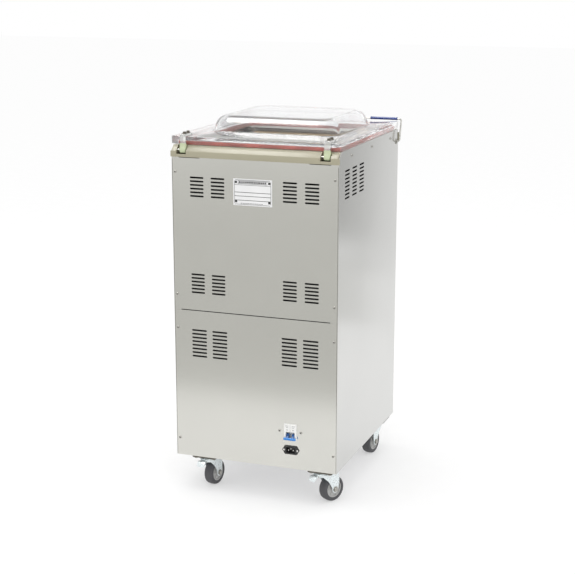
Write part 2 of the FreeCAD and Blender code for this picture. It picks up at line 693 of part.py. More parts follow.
def key_pad():
    """The overlay with its display window, and three push keys below the window."""
    overlay = body("key_overlay")
    flat = sketch(overlay, "XZ_Plane", "cab_d / 2 + 1.6")
    rounded(flat, "overlay_w", "overlay_h", "6", ("overlay_x", "control_mid"))
    pad(overlay, flat, "1.6", back=True)
    for k, name in enumerate(("key_left", "key_middle", "key_right")):
        x = "overlay_x + %d" % (38 * (k - 1))
        hole = sketch(overlay, "XZ_Plane", "cab_d / 2 + 1.6")
        rectangle(hole, "key_w + 0.6", "key_w + 0.6", (x, "control_mid - 22"))
        pocket(overlay, hole, "2")
        key = body(name)
        cap = sketch(key, "XZ_Plane", "cab_d / 2 + 3.6")
        rounded(cap, "key_w", "key_w", "2", (x, "control_mid - 22"))
        pad(key, cap, "7", back=True)


# ---------------------------------------------------------------- pump compartment

def pump_set():
    floor = "base_z + tray_wall"
    casing = block(("150", "230", "150"), ("pump_x", "pump_y - 90"), floor)
    cover = block(("170", "30", "170"), ("pump_x", "pump_y + 40"), floor)
    inlet = rod("22", "40", ("pump_x - 40", "pump_y - 60", floor + " + 150"))
    keep(fuse([casing, cover, inlet]), "vacuum_pump")
    motor = rod("motor_r", "150", ("pump_x", "pump_y + 55.3", floor + " + 90"), "Y")
    fan = rod("motor_r - 8", "30", ("pump_x", "pump_y + 205.3", floor + " + 90"), "Y")
    feet = block(("150", "90", "12"), ("pump_x", "pump_y + 130"), floor)
    stand = block(("60", "90", "20"), ("pump_x", "pump_y + 130"), floor)
    keep(fuse([motor, fan, feet, stand]), "pump_motor")
    keep(rod("42", "170", ("pump_x + 35", "pump_y - 130", floor + " + 150.2")), "exhaust_filter")
    keep(block(("95", "110", "100"), ("-150", "-180"), floor), "transformer")


def control_box():
    """The electronics box, standing off the back of the control panel on four posts."""
    front = "-cab_d / 2"
    case = block(("200", "46", "85"), ("0", front + " + 31"), "control_mid - 45")
    posts = [rod("4", "7", (x, front + " + sheet", "control_mid + %d" % z), "Y")
             for x in ("-90", "90") for z in (-38, 33)]
    keep(fuse([case] + posts), "control_box")


def vacuum_hose():
    """The hose from the pump's inlet up to the port in the chamber floor."""
    hose = body("vacuum_hose")
    low = Vector(num("pump_x - 40"), num("pump_y - 60"), num("base_z + tray_wall + 190.2"))
    high = Vector(num("port_x"), num("port_y"), num("deck_z - chamber_deep - chamber_wall - 0.2"))
    across = Vector(high.x - low.x, high.y - low.y, 0)
    move(hose, str(low.x), str(low.y), str(low.z), turn=Rotation(Vector(1, 0, 0), across))
    run = across.Length
    path = sketch(hose, "XZ_Plane")
    rise = high.z - low.z
    bent_path(path, [Vector(0, 0, 0), Vector(0, rise * 0.4, 0), Vector(run, rise * 0.6, 0),
                     Vector(run, rise, 0)], 90)
    section = sketch(hose, "XY_Plane")
    circle(section, "port_r + 2")
    pipe = hose.newObject("PartDesign::AdditivePipe", "vacuum_hose_pipe")
    pipe.Profile = section
    pipe.Spine = (path, ["Edge%d" % k for k in range(1, path.GeometryCount + 1)])
    doc.recompute()


# ---------------------------------------------------------------- castors

CASTORS = {
    "rear_right": ("-castor_mid - castor_x", "castor_rear", -120),
    "rear_left": ("-castor_mid + castor_x", "castor_rear", -100),
    "front_right": ("-castor_mid - castor_front_x", "-castor_front", 80),
    "front_left": ("-castor_mid + castor_front_x", "-castor_front", 95),
}


def castor_plates():
    """Square top plates, each with a round cup for the kingpin and a bolt in every corner."""
    plates = []
    bolts = []
    for x, y, heading in CASTORS.values():
        plate = block(("castor_plate", "castor_plate", "plate_thick"), (x, y), "base_z - plate_thick")
        cup = rod("24", "8", (x, y, "base_z - 10.5"))
        holes = [rod("5 + running", "11.1", (x, y, "base_z - 11"))]
        for a, b in ((-1, -1), (-1, 1), (1, -1), (1, 1)):
            corner = ("(%s) + %d" % (x, 28 * a), "(%s) + %d" % (y, 28 * b))
            holes.append(rod("4.2", "plate_thick", corner + ("base_z - plate_thick",)))
            bolts.append(fuse([rod("6", "4", corner + ("base_z - plate_thick - 4",)),
                               rod("3.9", "plate_thick", corner + ("base_z - plate_thick - 0.5",))]))
        plates.append(cut(fuse([plate, cup]), fuse(holes)))
    keep(group(plates), "castor_plates")
    keep(group(bolts), "castor_bolts")


def castor(label, x, y, heading):
    """Fork, axle, hub, tyre and brake pedal; the wheel trails along the fork's own +X."""
    turn = Rotation(Vector(0, 0, 1), heading)

    def seat(thing, name):
        keep(thing, name + "_" + label)
        move(thing, x, y, "0", turn=turn)

    leg_gap = "tyre_wide + 5"
    crown = fuse([rod("22", "3", ("0", "0", "base_z - 14")),
                  block(("30", leg_gap + " + 5", "3"), ("trail / 2", "0"), "base_z - 14"),
                  rod("5", "12", ("0", "0", "base_z - 13"))])
    legs = []
    for side in (-1, 1):
        leg = doc.addObject("Part::Wedge", "leg")
        bind(leg, Xmin="0", Xmax="52", X2min="30", X2max="46", Ymin="0", Ymax="base_z - 11 - wheel_r + 10",
             Zmin="0", Zmax="2.5", Z2min="0", Z2max="2.5")
        leg.Placement = Placement(Vector(), Rotation(Vector(1, 0, 0), -90))
        move(leg, "-8", "%d * (%s) / 2 %s" % (side, leg_gap, "- 2.5" if side < 0 else ""), "base_z - 11")
        legs.append(leg)
    ears = []
    for across in ("-8", "8"):
        ears.append(block(("10", "3", "12"), ("-pedal_x + 1", across), "base_z - pedal_drop - 4"))
        ears.append(block(("14", "3", "3"), ("-pedal_x + 6", across), "base_z - 14"))
    pedal_pin = rod("2", "19", ("-pedal_x", "-9.5", "base_z - pedal_drop"), "Y")
    bore = rod("axle_r", "80", ("trail", "-40", "wheel_r"), "Y")
    fork = cut(fuse([crown, pedal_pin] + legs + ears), bore)
    axle = fuse([rod("axle_r", leg_gap + " + 9", ("trail", "-(%s) / 2 - 4.5" % leg_gap, "wheel_r"), "Y"),
                 rod("6.5", "4", ("trail", "(%s) / 2 + 2.5" % leg_gap, "wheel_r"), "Y"),
                 rod("6.5", "4", ("trail", "-(%s) / 2 - 6.5" % leg_gap, "wheel_r"), "Y")])
    seat(group([fork, axle]), "castor_fork")
    hub = cut(fuse([rod("hub_r - 0.01", "tyre_wide - 7", ("trail", "-tyre_wide / 2 + 3.5", "wheel_r"), "Y"),
                    rod("10", "tyre_wide + 4", ("trail", "-tyre_wide / 2 - 2", "wheel_r"), "Y")]),
              rod("axle_r + running", "60", ("trail", "-30", "wheel_r"), "Y"))
    seat(hub, "castor_hub")
    tread = doc.addObject("Part::Chamfer", "tread")
    tread.Base = rod("wheel_r", "tyre_wide", ("trail", "-tyre_wide / 2", "wheel_r"), "Y")
    doc.recompute()
    rims = [k for k, edge in enumerate(tread.Base.Shape.Edges, start=1) if len(edge.Vertexes) == 1]
    tread.Edges = [(k, 3.0, 3.0) for k in rims]
    seat(cut(tread, rod("hub_r", "60", ("trail", "-30", "wheel_r"), "Y")), "castor_tyre")
    pedal = fuse([block(("16", "29", "2.5"), ("-pedal_x - 14", "0"), "base_z - pedal_drop - 3"),
                  block(("8", "12", "2.5"), ("-pedal_x - 4", "0"), "base_z - pedal_drop - 3"),
                  rod("4", "12", ("-pedal_x", "-6", "base_z - pedal_drop"), "Y")])
    pedal_bore = rod("2 + running", "14", ("-pedal_x", "-7", "base_z - pedal_drop"), "Y")
    seat(cut(pedal, pedal_bore), "castor_pedal")


# ---------------------------------------------------------------- build and write

base_frame()
cabinet_panels()
hinge_rail()
front_rail()
vacuum_chamber()
panel_screws()
rating_plate()
lid_dome()
lid_gasket()
hinge_arm("hinge_arm_left", 1)
hinge_arm("hinge_arm_right", -1)
hinge_bolts()
press_bars()
seal_bar("seal_bar_front", "-")
seal_bar("seal_bar_rear", "")
lift_cylinders()
filler_plate()
lock_lever()
circuit_breaker()
power_inlet()
vacuum_gauge()
stop_button()
key_pad()
pump_set()
control_box()
vacuum_hose()
castor_plates()
for name, (x, y, heading) in CASTORS.items():
    castor(name, x, y, heading)
doc.recompute()

for thing in doc.Objects:
    assert not {"Invalid", "Error"} & set(thing.State), thing.Label
for thing in SUB_PARTS:
    assert not thing.Shape.isNull() and thing.Shape.isValid(), thing.Label
os.makedirs("parts", exist_ok=True)
for thing in SUB_PARTS:
    thing.Shape.exportStep("parts/%s.step" % thing.Label)
    print(thing.Label, len(thing.Shape.Solids), round(thing.Shape.Volume / 1000, 1))
print(len(SUB_PARTS), "sub-parts")
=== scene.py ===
"""Looks for a floor-standing vacuum packing machine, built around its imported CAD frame.

Shapes are written in millimetres in the frame's own axes (+Z up, +Y to the back) and
scaled to metres when a piece is made.
"""

import json
import math
import random

import bmesh
import bpy
from mathutils import Matrix, Vector


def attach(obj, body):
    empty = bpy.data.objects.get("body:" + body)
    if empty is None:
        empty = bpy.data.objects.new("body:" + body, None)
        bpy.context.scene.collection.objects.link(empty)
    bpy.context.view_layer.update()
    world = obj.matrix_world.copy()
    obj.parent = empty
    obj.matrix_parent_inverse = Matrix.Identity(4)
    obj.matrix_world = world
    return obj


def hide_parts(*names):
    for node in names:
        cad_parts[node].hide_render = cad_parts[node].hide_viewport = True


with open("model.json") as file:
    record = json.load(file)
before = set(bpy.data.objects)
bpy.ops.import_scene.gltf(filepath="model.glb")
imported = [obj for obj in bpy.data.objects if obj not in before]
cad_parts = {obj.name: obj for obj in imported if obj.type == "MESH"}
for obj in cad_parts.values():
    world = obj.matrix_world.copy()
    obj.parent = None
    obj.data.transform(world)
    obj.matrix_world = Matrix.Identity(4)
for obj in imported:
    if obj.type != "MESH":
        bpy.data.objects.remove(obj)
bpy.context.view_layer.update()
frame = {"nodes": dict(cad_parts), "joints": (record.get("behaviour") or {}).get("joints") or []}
scene = bpy.context.scene
random.seed(7)

MM = 0.001
SHEET_X, SHEET_Y = 245, 288.5
BASE_Z, DECK_Z = 105, 1013
ORIGIN = (0, 0, 0)


# ---------------------------------------------------------------- materials

def shader(name, color, roughness, metallic=0.0, **sockets):
    """A Principled material with its constant values on the shader's own sockets."""
    mat = bpy.data.materials.new(name)
    mat.use_nodes = True
    bsdf = mat.node_tree.nodes["Principled BSDF"]
    bsdf.inputs["Base Color"].default_value = (*color, 1)
    bsdf.inputs["Roughness"].default_value = roughness
    bsdf.inputs["Metallic"].default_value = metallic
    for key, value in sockets.items():
        bsdf.inputs[key.replace("_", " ")].default_value = value
    mat.diffuse_color = (*color, 1)
    return mat


def bsdf_of(mat):
    """The material's Principled shader."""
    return mat.node_tree.nodes["Principled BSDF"]


def texture(mat, kind, scale, stretch=(1, 1, 1), **settings):
    """A 3-D texture in the object's own coordinates; returns its value socket."""
    nodes, links = mat.node_tree.nodes, mat.node_tree.links
    coord = nodes.new("ShaderNodeTexCoord")
    mapping = nodes.new("ShaderNodeMapping")
    mapping.inputs["Scale"].default_value = stretch
    node = nodes.new("ShaderNodeTex" + kind)
    node.inputs["Scale"].default_value = scale
    for key, value in settings.items():
        node.inputs[key].default_value = value
    links.new(coord.outputs["Object"], mapping.inputs["Vector"])
    links.new(mapping.outputs["Vector"], node.inputs["Vector"])
    return node.outputs[0]


NOISE_SPAN = (0.3, 0.7)


def ranged(mat, value, span, low=0.0, high=1.0):
    """Stretch a value's span to run from low to high."""
    node = mat.node_tree.nodes.new("ShaderNodeMapRange")
    node.inputs["From Min"].default_value = span[0]
    node.inputs["From Max"].default_value = span[1]
    node.inputs["To Min"].default_value = low
    node.inputs["To Max"].default_value = high
    mat.node_tree.links.new(value, node.inputs["Value"])
    return node.outputs["Result"]


def mix_color(mat, factor, color_a, color_b):
    """Blend the base colour from one to the other as the factor runs from 0 to 1."""
    mix = mat.node_tree.nodes.new("ShaderNodeMix")
    mix.data_type = "RGBA"
    ends = {"A": color_a, "B": color_b}
    for socket in mix.inputs:
        if socket.type == "RGBA":
            socket.default_value = (*ends[socket.name], 1)
    mat.node_tree.links.new(factor, mix.inputs["Factor"])
    output = next(s for s in mix.outputs if s.type == "RGBA")
    mat.node_tree.links.new(output, bsdf_of(mat).inputs["Base Color"])


def vary_roughness(mat, value, low, high):
    """Let a texture move the roughness between two values."""
    mat.node_tree.links.new(ranged(mat, value, NOISE_SPAN, low, high), bsdf_of(mat).inputs["Roughness"])


def vary_color(mat, value, color_a, color_b):
    """Let a texture move the base colour between two shades."""
    mix_color(mat, ranged(mat, value, NOISE_SPAN), color_a, color_b)


def bump(mat, value, strength, distance):
    """Raise the surface by a texture."""
    node = mat.node_tree.nodes.new("ShaderNodeBump")
    node.inputs["Strength"].default_value = strength
    node.inputs["Distance"].default_value = distance
    mat.node_tree.links.new(value, node.inputs["Height"])
    mat.node_tree.links.new(node.outputs["Normal"], bsdf_of(mat).inputs["Normal"])


def shade(color, factor):
    """A lighter or darker shade of a colour."""
    return tuple(min(1, c * factor) for c in color)


def brushed(name, color, roughness, stretch=(1, 1, 0.02), grain=900, depth=0.00002, strength=0.12):
    """Satin sheet steel with a fine straight grain and faint handling marks."""
    mat = shader(name, color, roughness, metallic=1.0)
    lines = texture(mat, "Noise", grain, stretch, Detail=3.0)
    smudge = texture(mat, "Noise", 7, Detail=4.0)
    vary_color(mat, smudge, shade(color, 0.985), shade(color, 1.015))
    vary_roughness(mat, lines, roughness * 0.92, roughness * 1.1)
    bump(mat, lines, strength, depth)
    return mat


def coated(name, color, roughness, grain=350, depth=0.00006, metallic=0.0, spread=0.05, **sockets):
    """Paint, plastic or rubber with a fine skin texture and slight colour drift."""
    mat = shader(name, color, roughness, metallic, **sockets)
    skin = texture(mat, "Noise", grain, Detail=4.0)
    drift = texture(mat, "Noise", 14, Detail=5.0)
    vary_color(mat, drift, shade(color, 1 - spread), shade(color, 1 + spread))
    vary_roughness(mat, drift, roughness * 0.85, min(1, roughness * 1.2))
    bump(mat, skin, 0.25, depth)
    return mat


def plated(name, color, roughness, metallic=1.0):
    """Plated metal with faint crystals in its sheen."""
    mat = shader(name, color, roughness, metallic=metallic)
    crystals = texture(mat, "Voronoi", 240)
    drift = texture(mat, "Noise", 60, Detail=5.0)
    vary_color(mat, drift, shade(color, 0.92), shade(color, 1.05))
    vary_roughness(mat, crystals, roughness * 0.75, roughness * 1.3)
    bump(mat, drift, 0.15, 0.00005)
    return mat


def painted_shade_below_deck(mat, deck, depth, color_top, painted_shade_color):
    """Painted shade: darken a tub below its deck, for the shade that falls inside it; the colour falls off
    with the object's own height.
    """
    coord = mat.node_tree.nodes.new("ShaderNodeTexCoord")
    parts = mat.node_tree.nodes.new("ShaderNodeSeparateXYZ")
    mat.node_tree.links.new(coord.outputs["Object"], parts.inputs["Vector"])
    height = ranged(mat, parts.outputs["Z"], (deck - depth, deck))
    mix_color(mat, height, painted_shade_color, color_top)
    return mat


def clear(name, color, roughness=0.02):
    """Clear acrylic that hardly bends the view, with a glossy skin and a slight ripple."""
    mat = shader(name, color, roughness, IOR=1.08, Transmission_Weight=1.0, Alpha=0.9, Coat_Weight=1.0,
                 Coat_IOR=1.5, Coat_Roughness=0.03)
    haze = texture(mat, "Noise", 30, Detail=5.0)
    vary_roughness(mat, haze, roughness * 0.5, roughness * 2.5)
    ripple = texture(mat, "Noise", 9, Detail=1.0)
    bump(mat, ripple, 0.15, 0.001)
    return mat


SHEET_GRAIN = {"grain": 2600, "depth": 0.00001, "strength": 0.03}
M = {
    "sheet": brushed("satin_steel", (0.655, 0.65, 0.61), 0.18, **SHEET_GRAIN),
    # The side panels get a darker, cooler copy of the same steel: painted shade on the sides.
    "sheet_side_painted_shade": brushed("satin_steel_side_painted_shade", (0.635, 0.635, 0.62), 0.18, **SHEET_GRAIN),
    # The chamber's steel darkens below the deck: painted shade inside the tub.
    "tub": painted_shade_below_deck(brushed("chamber_steel", (0.62, 0.61, 0.58), 0.22, stretch=(0.02, 1, 1)),
                      (DECK_Z - 0.2) * MM, 0.02, (0.70, 0.69, 0.67), (0.09, 0.08, 0.07)),
    "frame": coated("frame_grey", (0.42, 0.42, 0.43), 0.5),
    "rail": coated("rail_khaki", (0.35, 0.325, 0.23), 0.42, spread=0.03, Coat_Weight=0.25,
                   Coat_Roughness=0.12),
    "acrylic": clear("clear_acrylic", (0.985, 0.99, 1.0)),
    "gasket": coated("red_silicone", (0.42, 0.10, 0.075), 0.5, spread=0.35),
    "alloy_green": coated("hinge_anodised", (0.50, 0.56, 0.36), 0.5),
    "hinge_clear": coated("hinge_frosted", (0.93, 0.94, 0.92), 0.12, Transmission_Weight=0.75, IOR=1.45),
    "screw": plated("screw_steel", (0.42, 0.41, 0.38), 0.3),
    "screw_light": plated("screw_light", (0.72, 0.71, 0.68), 0.25),
    "dark_bolt": coated("bolt_dark", (0.13, 0.12, 0.10), 0.35, metallic=0.8),
    "silicone": coated("white_silicone", (0.82, 0.81, 0.78), 0.55),
    # Near-black seal bars and lift cylinders: painted shade for the dark inside of the chamber, darker than
    # the alloy's own tone.
    "alloy": brushed("bar_alloy_painted_shade", (0.12, 0.11, 0.095), 0.3, stretch=(0.02, 1, 1)),
    "tape": coated("sealing_tape", (0.42, 0.30, 0.17), 0.45),
    "board": coated("filler_white", (0.84, 0.84, 0.81), 0.5, grain=120),
    "rod": plated("rod_steel", (0.52, 0.51, 0.48), 0.22),
    "grip": coated("grip_blue", (0.008, 0.04, 0.24), 0.28, Coat_Weight=0.4),
    "plate": coated("plate_white", (0.80, 0.80, 0.80), 0.32, metallic=0.1),
    "ink": coated("plate_ink", (0.035, 0.035, 0.035), 0.4),
    "ink_grey": coated("plate_ink_grey", (0.30, 0.30, 0.30), 0.4),
    "breaker": coated("breaker_white", (0.83, 0.83, 0.81), 0.32),
    "toggle": coated("toggle_blue", (0.015, 0.20, 0.60), 0.3),
    "toggle_dark": coated("toggle_blue_dark", (0.01, 0.09, 0.30), 0.35),
    "black": coated("black_plastic", (0.018, 0.018, 0.018), 0.33, grain=700),
    "gauge": coated("gauge_white", (0.84, 0.84, 0.82), 0.35),
    "stop": coated("stop_red", (0.60, 0.02, 0.015), 0.25, Coat_Weight=0.3),
    "key": coated("key_grey", (0.34, 0.36, 0.39), 0.45),
    "window": coated("display_window", (0.05, 0.006, 0.006), 0.12),
    "lamp": coated("lamp_green", (0.10, 0.55, 0.12), 0.3),
    "pump": coated("pump_grey", (0.22, 0.24, 0.27), 0.45, metallic=0.3, depth=0.0002),
    # Near-black: real for the corner joints, painted shade for the sheets behind the vents.
    "seam_and_shade_black": coated("seam_black_and_vent_painted_shade", (0.012, 0.012, 0.012), 0.9),
    "hose": coated("hose_black", (0.03, 0.03, 0.03), 0.6),
    "zinc": plated("castor_zinc", (0.80, 0.86, 0.87), 0.34, metallic=0.5),
    # Dark brown-black top plates: painted shade, so their edges read as the shadow gap under the base.
    "race": coated("castor_plate_painted_shade", (0.10, 0.09, 0.07), 0.4, metallic=0.6),
    "tyre": coated("tyre_grey", (0.07, 0.07, 0.075), 0.6, grain=500, depth=0.0001),
    "hub": coated("hub_grey", (0.46, 0.46, 0.45), 0.42),
}

NODE_LOOKS = {
    "sheet": ["rear_upper_panel", "rear_lower_panel", "front_panel", "control_panel"],
    "sheet_side_painted_shade": ["side_panel_left", "side_panel_right"],
    "tub": ["vacuum_chamber"],
    "frame": ["base_frame"],
    "rail": ["front_rail", "hinge_rail"],
    "screw": ["panel_screws", "hinge_pins", "lock_bush"],
    "dark_bolt": ["hinge_bolts", "castor_bolts"],
    "plate": ["rating_plate"],
    "silicone": ["press_bars"],
    # These bars take the near-black painted-shade alloy.
    "alloy": ["seal_bar_front", "seal_bar_rear", "lift_cylinders"],
    "board": ["filler_plate", "control_box"],
    "rod": ["lock_rod"],
    "breaker": ["breaker_body"],
    "toggle": ["breaker_toggle"],
    "black": ["power_inlet", "gauge_needle", "key_overlay"],
    "gauge": ["vacuum_gauge"],
    "stop": ["stop_button"],
    "key": ["key_left", "key_middle", "key_right"],
    "pump": ["vacuum_pump", "pump_motor", "exhaust_filter", "transformer"],
    "hose": ["vacuum_hose"],
    "acrylic": ["lid_dome"],
    "gasket": ["lid_gasket"],
    "alloy_green": ["hinge_arm_left", "hinge_arm_right"],
    "grip": ["lock_grip"],
    "zinc": ["castor_plates"],
}
CORNERS = ("rear_right", "rear_left", "front_right", "front_left")


def castor_places():
    """Each castor's kingpin and heading, from the frame's own joints."""
    spots = {joint["name"]: joint["pos_m"] for joint in frame["joints"] if "pos_m" in joint}
    places = {}
    for corner in CORNERS:
        pin, wheel = spots["swivel_" + corner], spots["roll_" + corner]
        heading = math.degrees(math.atan2(wheel[1] - pin[1], wheel[0] - pin[0]))
        places[corner] = (pin[0] / MM, pin[1] / MM, heading)
    return places


CASTORS = castor_places()
for corner in CASTORS:
    NODE_LOOKS["zinc"] += ["castor_fork_" + corner, "castor_pedal_" + corner]
    NODE_LOOKS.setdefault("hub", []).append("castor_hub_" + corner)
    NODE_LOOKS.setdefault("tyre", []).append("castor_tyre_" + corner)

for look, names in NODE_LOOKS.items():
    for node in (frame["nodes"][name] for name in names):
        if not node.material_slots:
            node.data.materials.append(M[look])
        for slot in node.material_slots:
            slot.material = M[look]


# ---------------------------------------------------------------- mesh helpers

WELD = 0.0005
BEVEL_FROM = math.radians(32)


def add(name, bm, body, look, stands_for=(), bevel=0.0, place=None, sharp=38):
    """Turn a bmesh in millimetres into a piece that rides on a body."""
    bmesh.ops.remove_doubles(bm, verts=bm.verts, dist=WELD)
    bmesh.ops.recalc_face_normals(bm, faces=bm.faces)
    if bevel:
        edges = [e for e in bm.edges if len(e.link_faces) == 2 and e.calc_face_angle(0) > BEVEL_FROM]
        bmesh.ops.bevel(bm, geom=edges, offset=bevel, offset_type="OFFSET", segments=3, profile=0.5,
                        affect="EDGES", clamp_overlap=True)
    if place is not None:
        bm.transform(place)
    bm.transform(Matrix.Scale(MM, 4))
    mesh = bpy.data.meshes.new(name)
    bm.to_mesh(mesh)
    bm.free()
    mesh.materials.append(M[look])
    for face in mesh.polygons:
        face.use_smooth = True
    mesh.set_sharp_from_angle(angle=math.radians(sharp))
    obj = bpy.data.objects.new(name, mesh)
    scene.collection.objects.link(obj)
    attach(obj, body)
    if stands_for:
        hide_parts(*stands_for)
    return obj


def prism(bm, outline, low, high, axis="Z"):
    """An outline of (u, v) points pushed along an axis from low to high."""
    order = {"X": (2, 0, 1), "Y": (0, 2, 1), "Z": (0, 1, 2)}[axis]
    ends = []
    for w in (low, high):
        points = [(u, v, w) for u, v in outline]
        ends.append([bm.verts.new([point[k] for k in order]) for point in points])
    count = len(outline)
    for k in range(count):
        bm.faces.new((ends[0][k], ends[0][(k + 1) % count], ends[1][(k + 1) % count], ends[1][k]))
    bm.faces.new(ends[0][::-1])
    bm.faces.new(ends[1])


def block(bm, size, middle):
    """A box of a size round its middle."""
    x0, y0, z0 = (m - s / 2 for m, s in zip(middle, size))
    x1, y1, z1 = (m + s / 2 for m, s in zip(middle, size))
    prism(bm, [(x0, y0), (x1, y0), (x1, y1), (x0, y1)], z0, z1)


AXES = {"X": Matrix(((0, 0, 1), (1, 0, 0), (0, 1, 0))),
        "Y": Matrix(((1, 0, 0), (0, 0, 1), (0, -1, 0))),
        "Z": Matrix.Identity(3)}


def circle(radius, height, steps):
    """Points of a level circle round the Z axis."""
    angles = [2 * math.pi * k / steps for k in range(steps)]
    return [Vector((radius * math.cos(angle), radius * math.sin(angle), height)) for angle in angles]


def neighbours(rings, closed):
    """Each ring with the next one, and the last with the first when closed."""
    return list(zip(rings, rings[1:])) + ([(rings[-1], rings[0])] if closed else [])


def lathe(bm, profile, middle, axis="Z", steps=48, closed=False):
    """Turn (radius, height) points round an axis through middle."""
    rings = []
    for radius, height in profile:
        points = circle(radius, height, steps) if radius else [Vector((0, 0, height))]
        rings.append([bm.verts.new(Vector(middle) + AXES[axis] @ point) for point in points])
    for one, two in neighbours(rings, closed):
        for k in range(steps):
            n = (k + 1) % steps
            if len(one) == 1 and len(two) == 1:
                continue
            if len(one) == 1:
                bm.faces.new((one[0], two[n], two[k]))
            elif len(two) == 1:
                bm.faces.new((one[k], one[n], two[0]))
            else:
                bm.faces.new((one[k], one[n], two[n], two[k]))


def round_rect(half_x, half_y, radius, middle=(0, 0), steps=10):
    """The outline of a rectangle with round corners."""
    points = []
    for k, (a, b) in enumerate(((1, 1), (-1, 1), (-1, -1), (1, -1))):
        for j in range(steps + 1):
            angle = (k + j / steps) * math.pi / 2
            points.append((middle[0] + a * (half_x - radius) + radius * math.cos(angle),
                           middle[1] + b * (half_y - radius) + radius * math.sin(angle)))
    return points


def loft(bm, rings, cap_start=False, cap_end=False, closed=False):
    """A skin over rings of equally many points."""
    rows = [[bm.verts.new(point) for point in ring] for ring in rings]
    count = len(rows[0])
    for one, two in neighbours(rows, closed):
        for k in range(count):
            bm.faces.new((one[k], one[(k + 1) % count], two[(k + 1) % count], two[k]))
    if cap_start:
        bm.faces.new(rows[0][::-1])
    if cap_end:
        bm.faces.new(rows[-1])


def rounded_path(corners, radius, steps=8):
    """The corner points' path with each inner corner rounded."""
    corners = [Vector(c) for c in corners]
    path = [corners[0]]
    for before, corner, after in zip(corners, corners[1:], corners[2:]):
        into, out = (before - corner).normalized(), (after - corner).normalized()
        half = into.angle(out) / 2
        reach = radius / math.tan(half)
        centre = corner + (into + out).normalized() * radius / math.sin(half)
        start, end = corner + into * reach, corner + out * reach
        first, last = (start - centre).normalized(), (end - centre).normalized()
        for k in range(steps + 1):
            path.append(centre + radius * first.slerp(last, k / steps))
    path.append(corners[-1])
    return path


def tube(bm, path, radius, steps):
    """A round bar along a path, with closed ends."""
    rings = []
    side = (path[1] - path[0]).normalized().orthogonal().normalized()
    for k, point in enumerate(path):
        ahead = (path[min(k + 1, len(path) - 1)] - path[max(k - 1, 0)]).normalized()
        side = (side - ahead * side.dot(ahead)).normalized()
        other = ahead.cross(side)
        rings.append([point + side * spot.x + other * spot.y for spot in circle(radius, 0, steps)])
    loft(bm, rings, cap_start=True, cap_end=True)


def drop_in(whole, part, place):
    """Add a finished little shape to a bigger one, moved into place."""
    part.transform(place)
    mesh = bpy.data.meshes.new("part")
    part.to_mesh(mesh)
    whole.from_mesh(mesh)
    part.free()
    bpy.data.meshes.remove(mesh)


# ---------------------------------------------------------------- lid

LID_MID = (0, 2.25)
LID_HALF = (250, 281.75)
LID_LOW, PLATE_TOP, DOME_TOP = 1016.5, 1037.5, 1083.0
DOME_MID = (0, -19)
DOME_HALF = (195, 182)
DOME_CORNER = 56
DOME_WALL = 8
DOME_SLOPE = math.radians(20)
CROWN = 1.0
CORNER_SHRINK, LEAST_CORNER = 0.45, 18
GROOVE_OUT, GROOVE_IN, GROOVE_DEEP, GROOVE_CORNER = 11.8, 20.2, 9, 30


def ring_at(half_x, half_y, radius, z, middle):
    """A level rectangle with round corners."""
    return [(x, y, z) for x, y in round_rect(half_x, half_y, radius, middle)]


def dome_profile(top, shoulder, flare, base):
    """(inset, height) points up a dome's wall from its flared foot, and over its shoulder to the crown."""
    points = [(0.0, base)]
    for k in range(1, 6):
        angle = (math.pi / 2 - DOME_SLOPE) * k / 5
        points.append((flare * math.sin(angle), base + flare * (1 - math.cos(angle))))
    shoulder_z = top - shoulder * (1 - math.sin(DOME_SLOPE))
    inset, height = points[-1]
    points.append((inset + (shoulder_z - height) * math.tan(DOME_SLOPE), shoulder_z))
    centre = points[-1][0] + shoulder * math.cos(DOME_SLOPE)
    for k in range(1, 11):
        angle = DOME_SLOPE + (math.pi / 2 - DOME_SLOPE) * k / 10
        points.append((centre - shoulder * math.cos(angle), top - shoulder * (1 - math.sin(angle))))
    return points


def dome_rings(shrink, top, shoulder, flare, base):
    """The dome's rings from its foot to its slightly swelling crown."""
    rings = []
    for inset, z in dome_profile(top, shoulder, flare, base):
        half_x, half_y = DOME_HALF[0] - shrink - inset, DOME_HALF[1] - shrink - inset
        corner = max(DOME_CORNER - shrink - CORNER_SHRINK * inset, LEAST_CORNER)
        rings.append(ring_at(half_x, half_y, corner, z, DOME_MID))
    for share in (0.8, 0.55, 0.3, 0.12):
        height = z + CROWN * (1 - share ** 2)
        rings.append(ring_at(half_x * share, half_y * share, corner * share, height, DOME_MID))
    return rings


def plate_edge():
    """The lid plate's outer edge, rounded above and below."""
    rings = []
    rim = 1.6
    for low, sign in ((LID_LOW, 1), (PLATE_TOP, -1)):
        steps = range(4) if sign > 0 else range(3, -1, -1)
        for k in steps:
            angle = math.radians(30 * k)
            inset = rim * (1 - math.sin(angle))
            rings.append(ring_at(LID_HALF[0] - inset, LID_HALF[1] - inset, 12 - inset / 2,
                                 low + sign * rim * (1 - math.cos(angle)), LID_MID))
    return rings


def rim_ring(inset, z):
    """A ring a little way in from the plate's edge."""
    return ring_at(LID_HALF[0] - inset, LID_HALF[1] - inset, GROOVE_CORNER - inset, z, LID_MID)


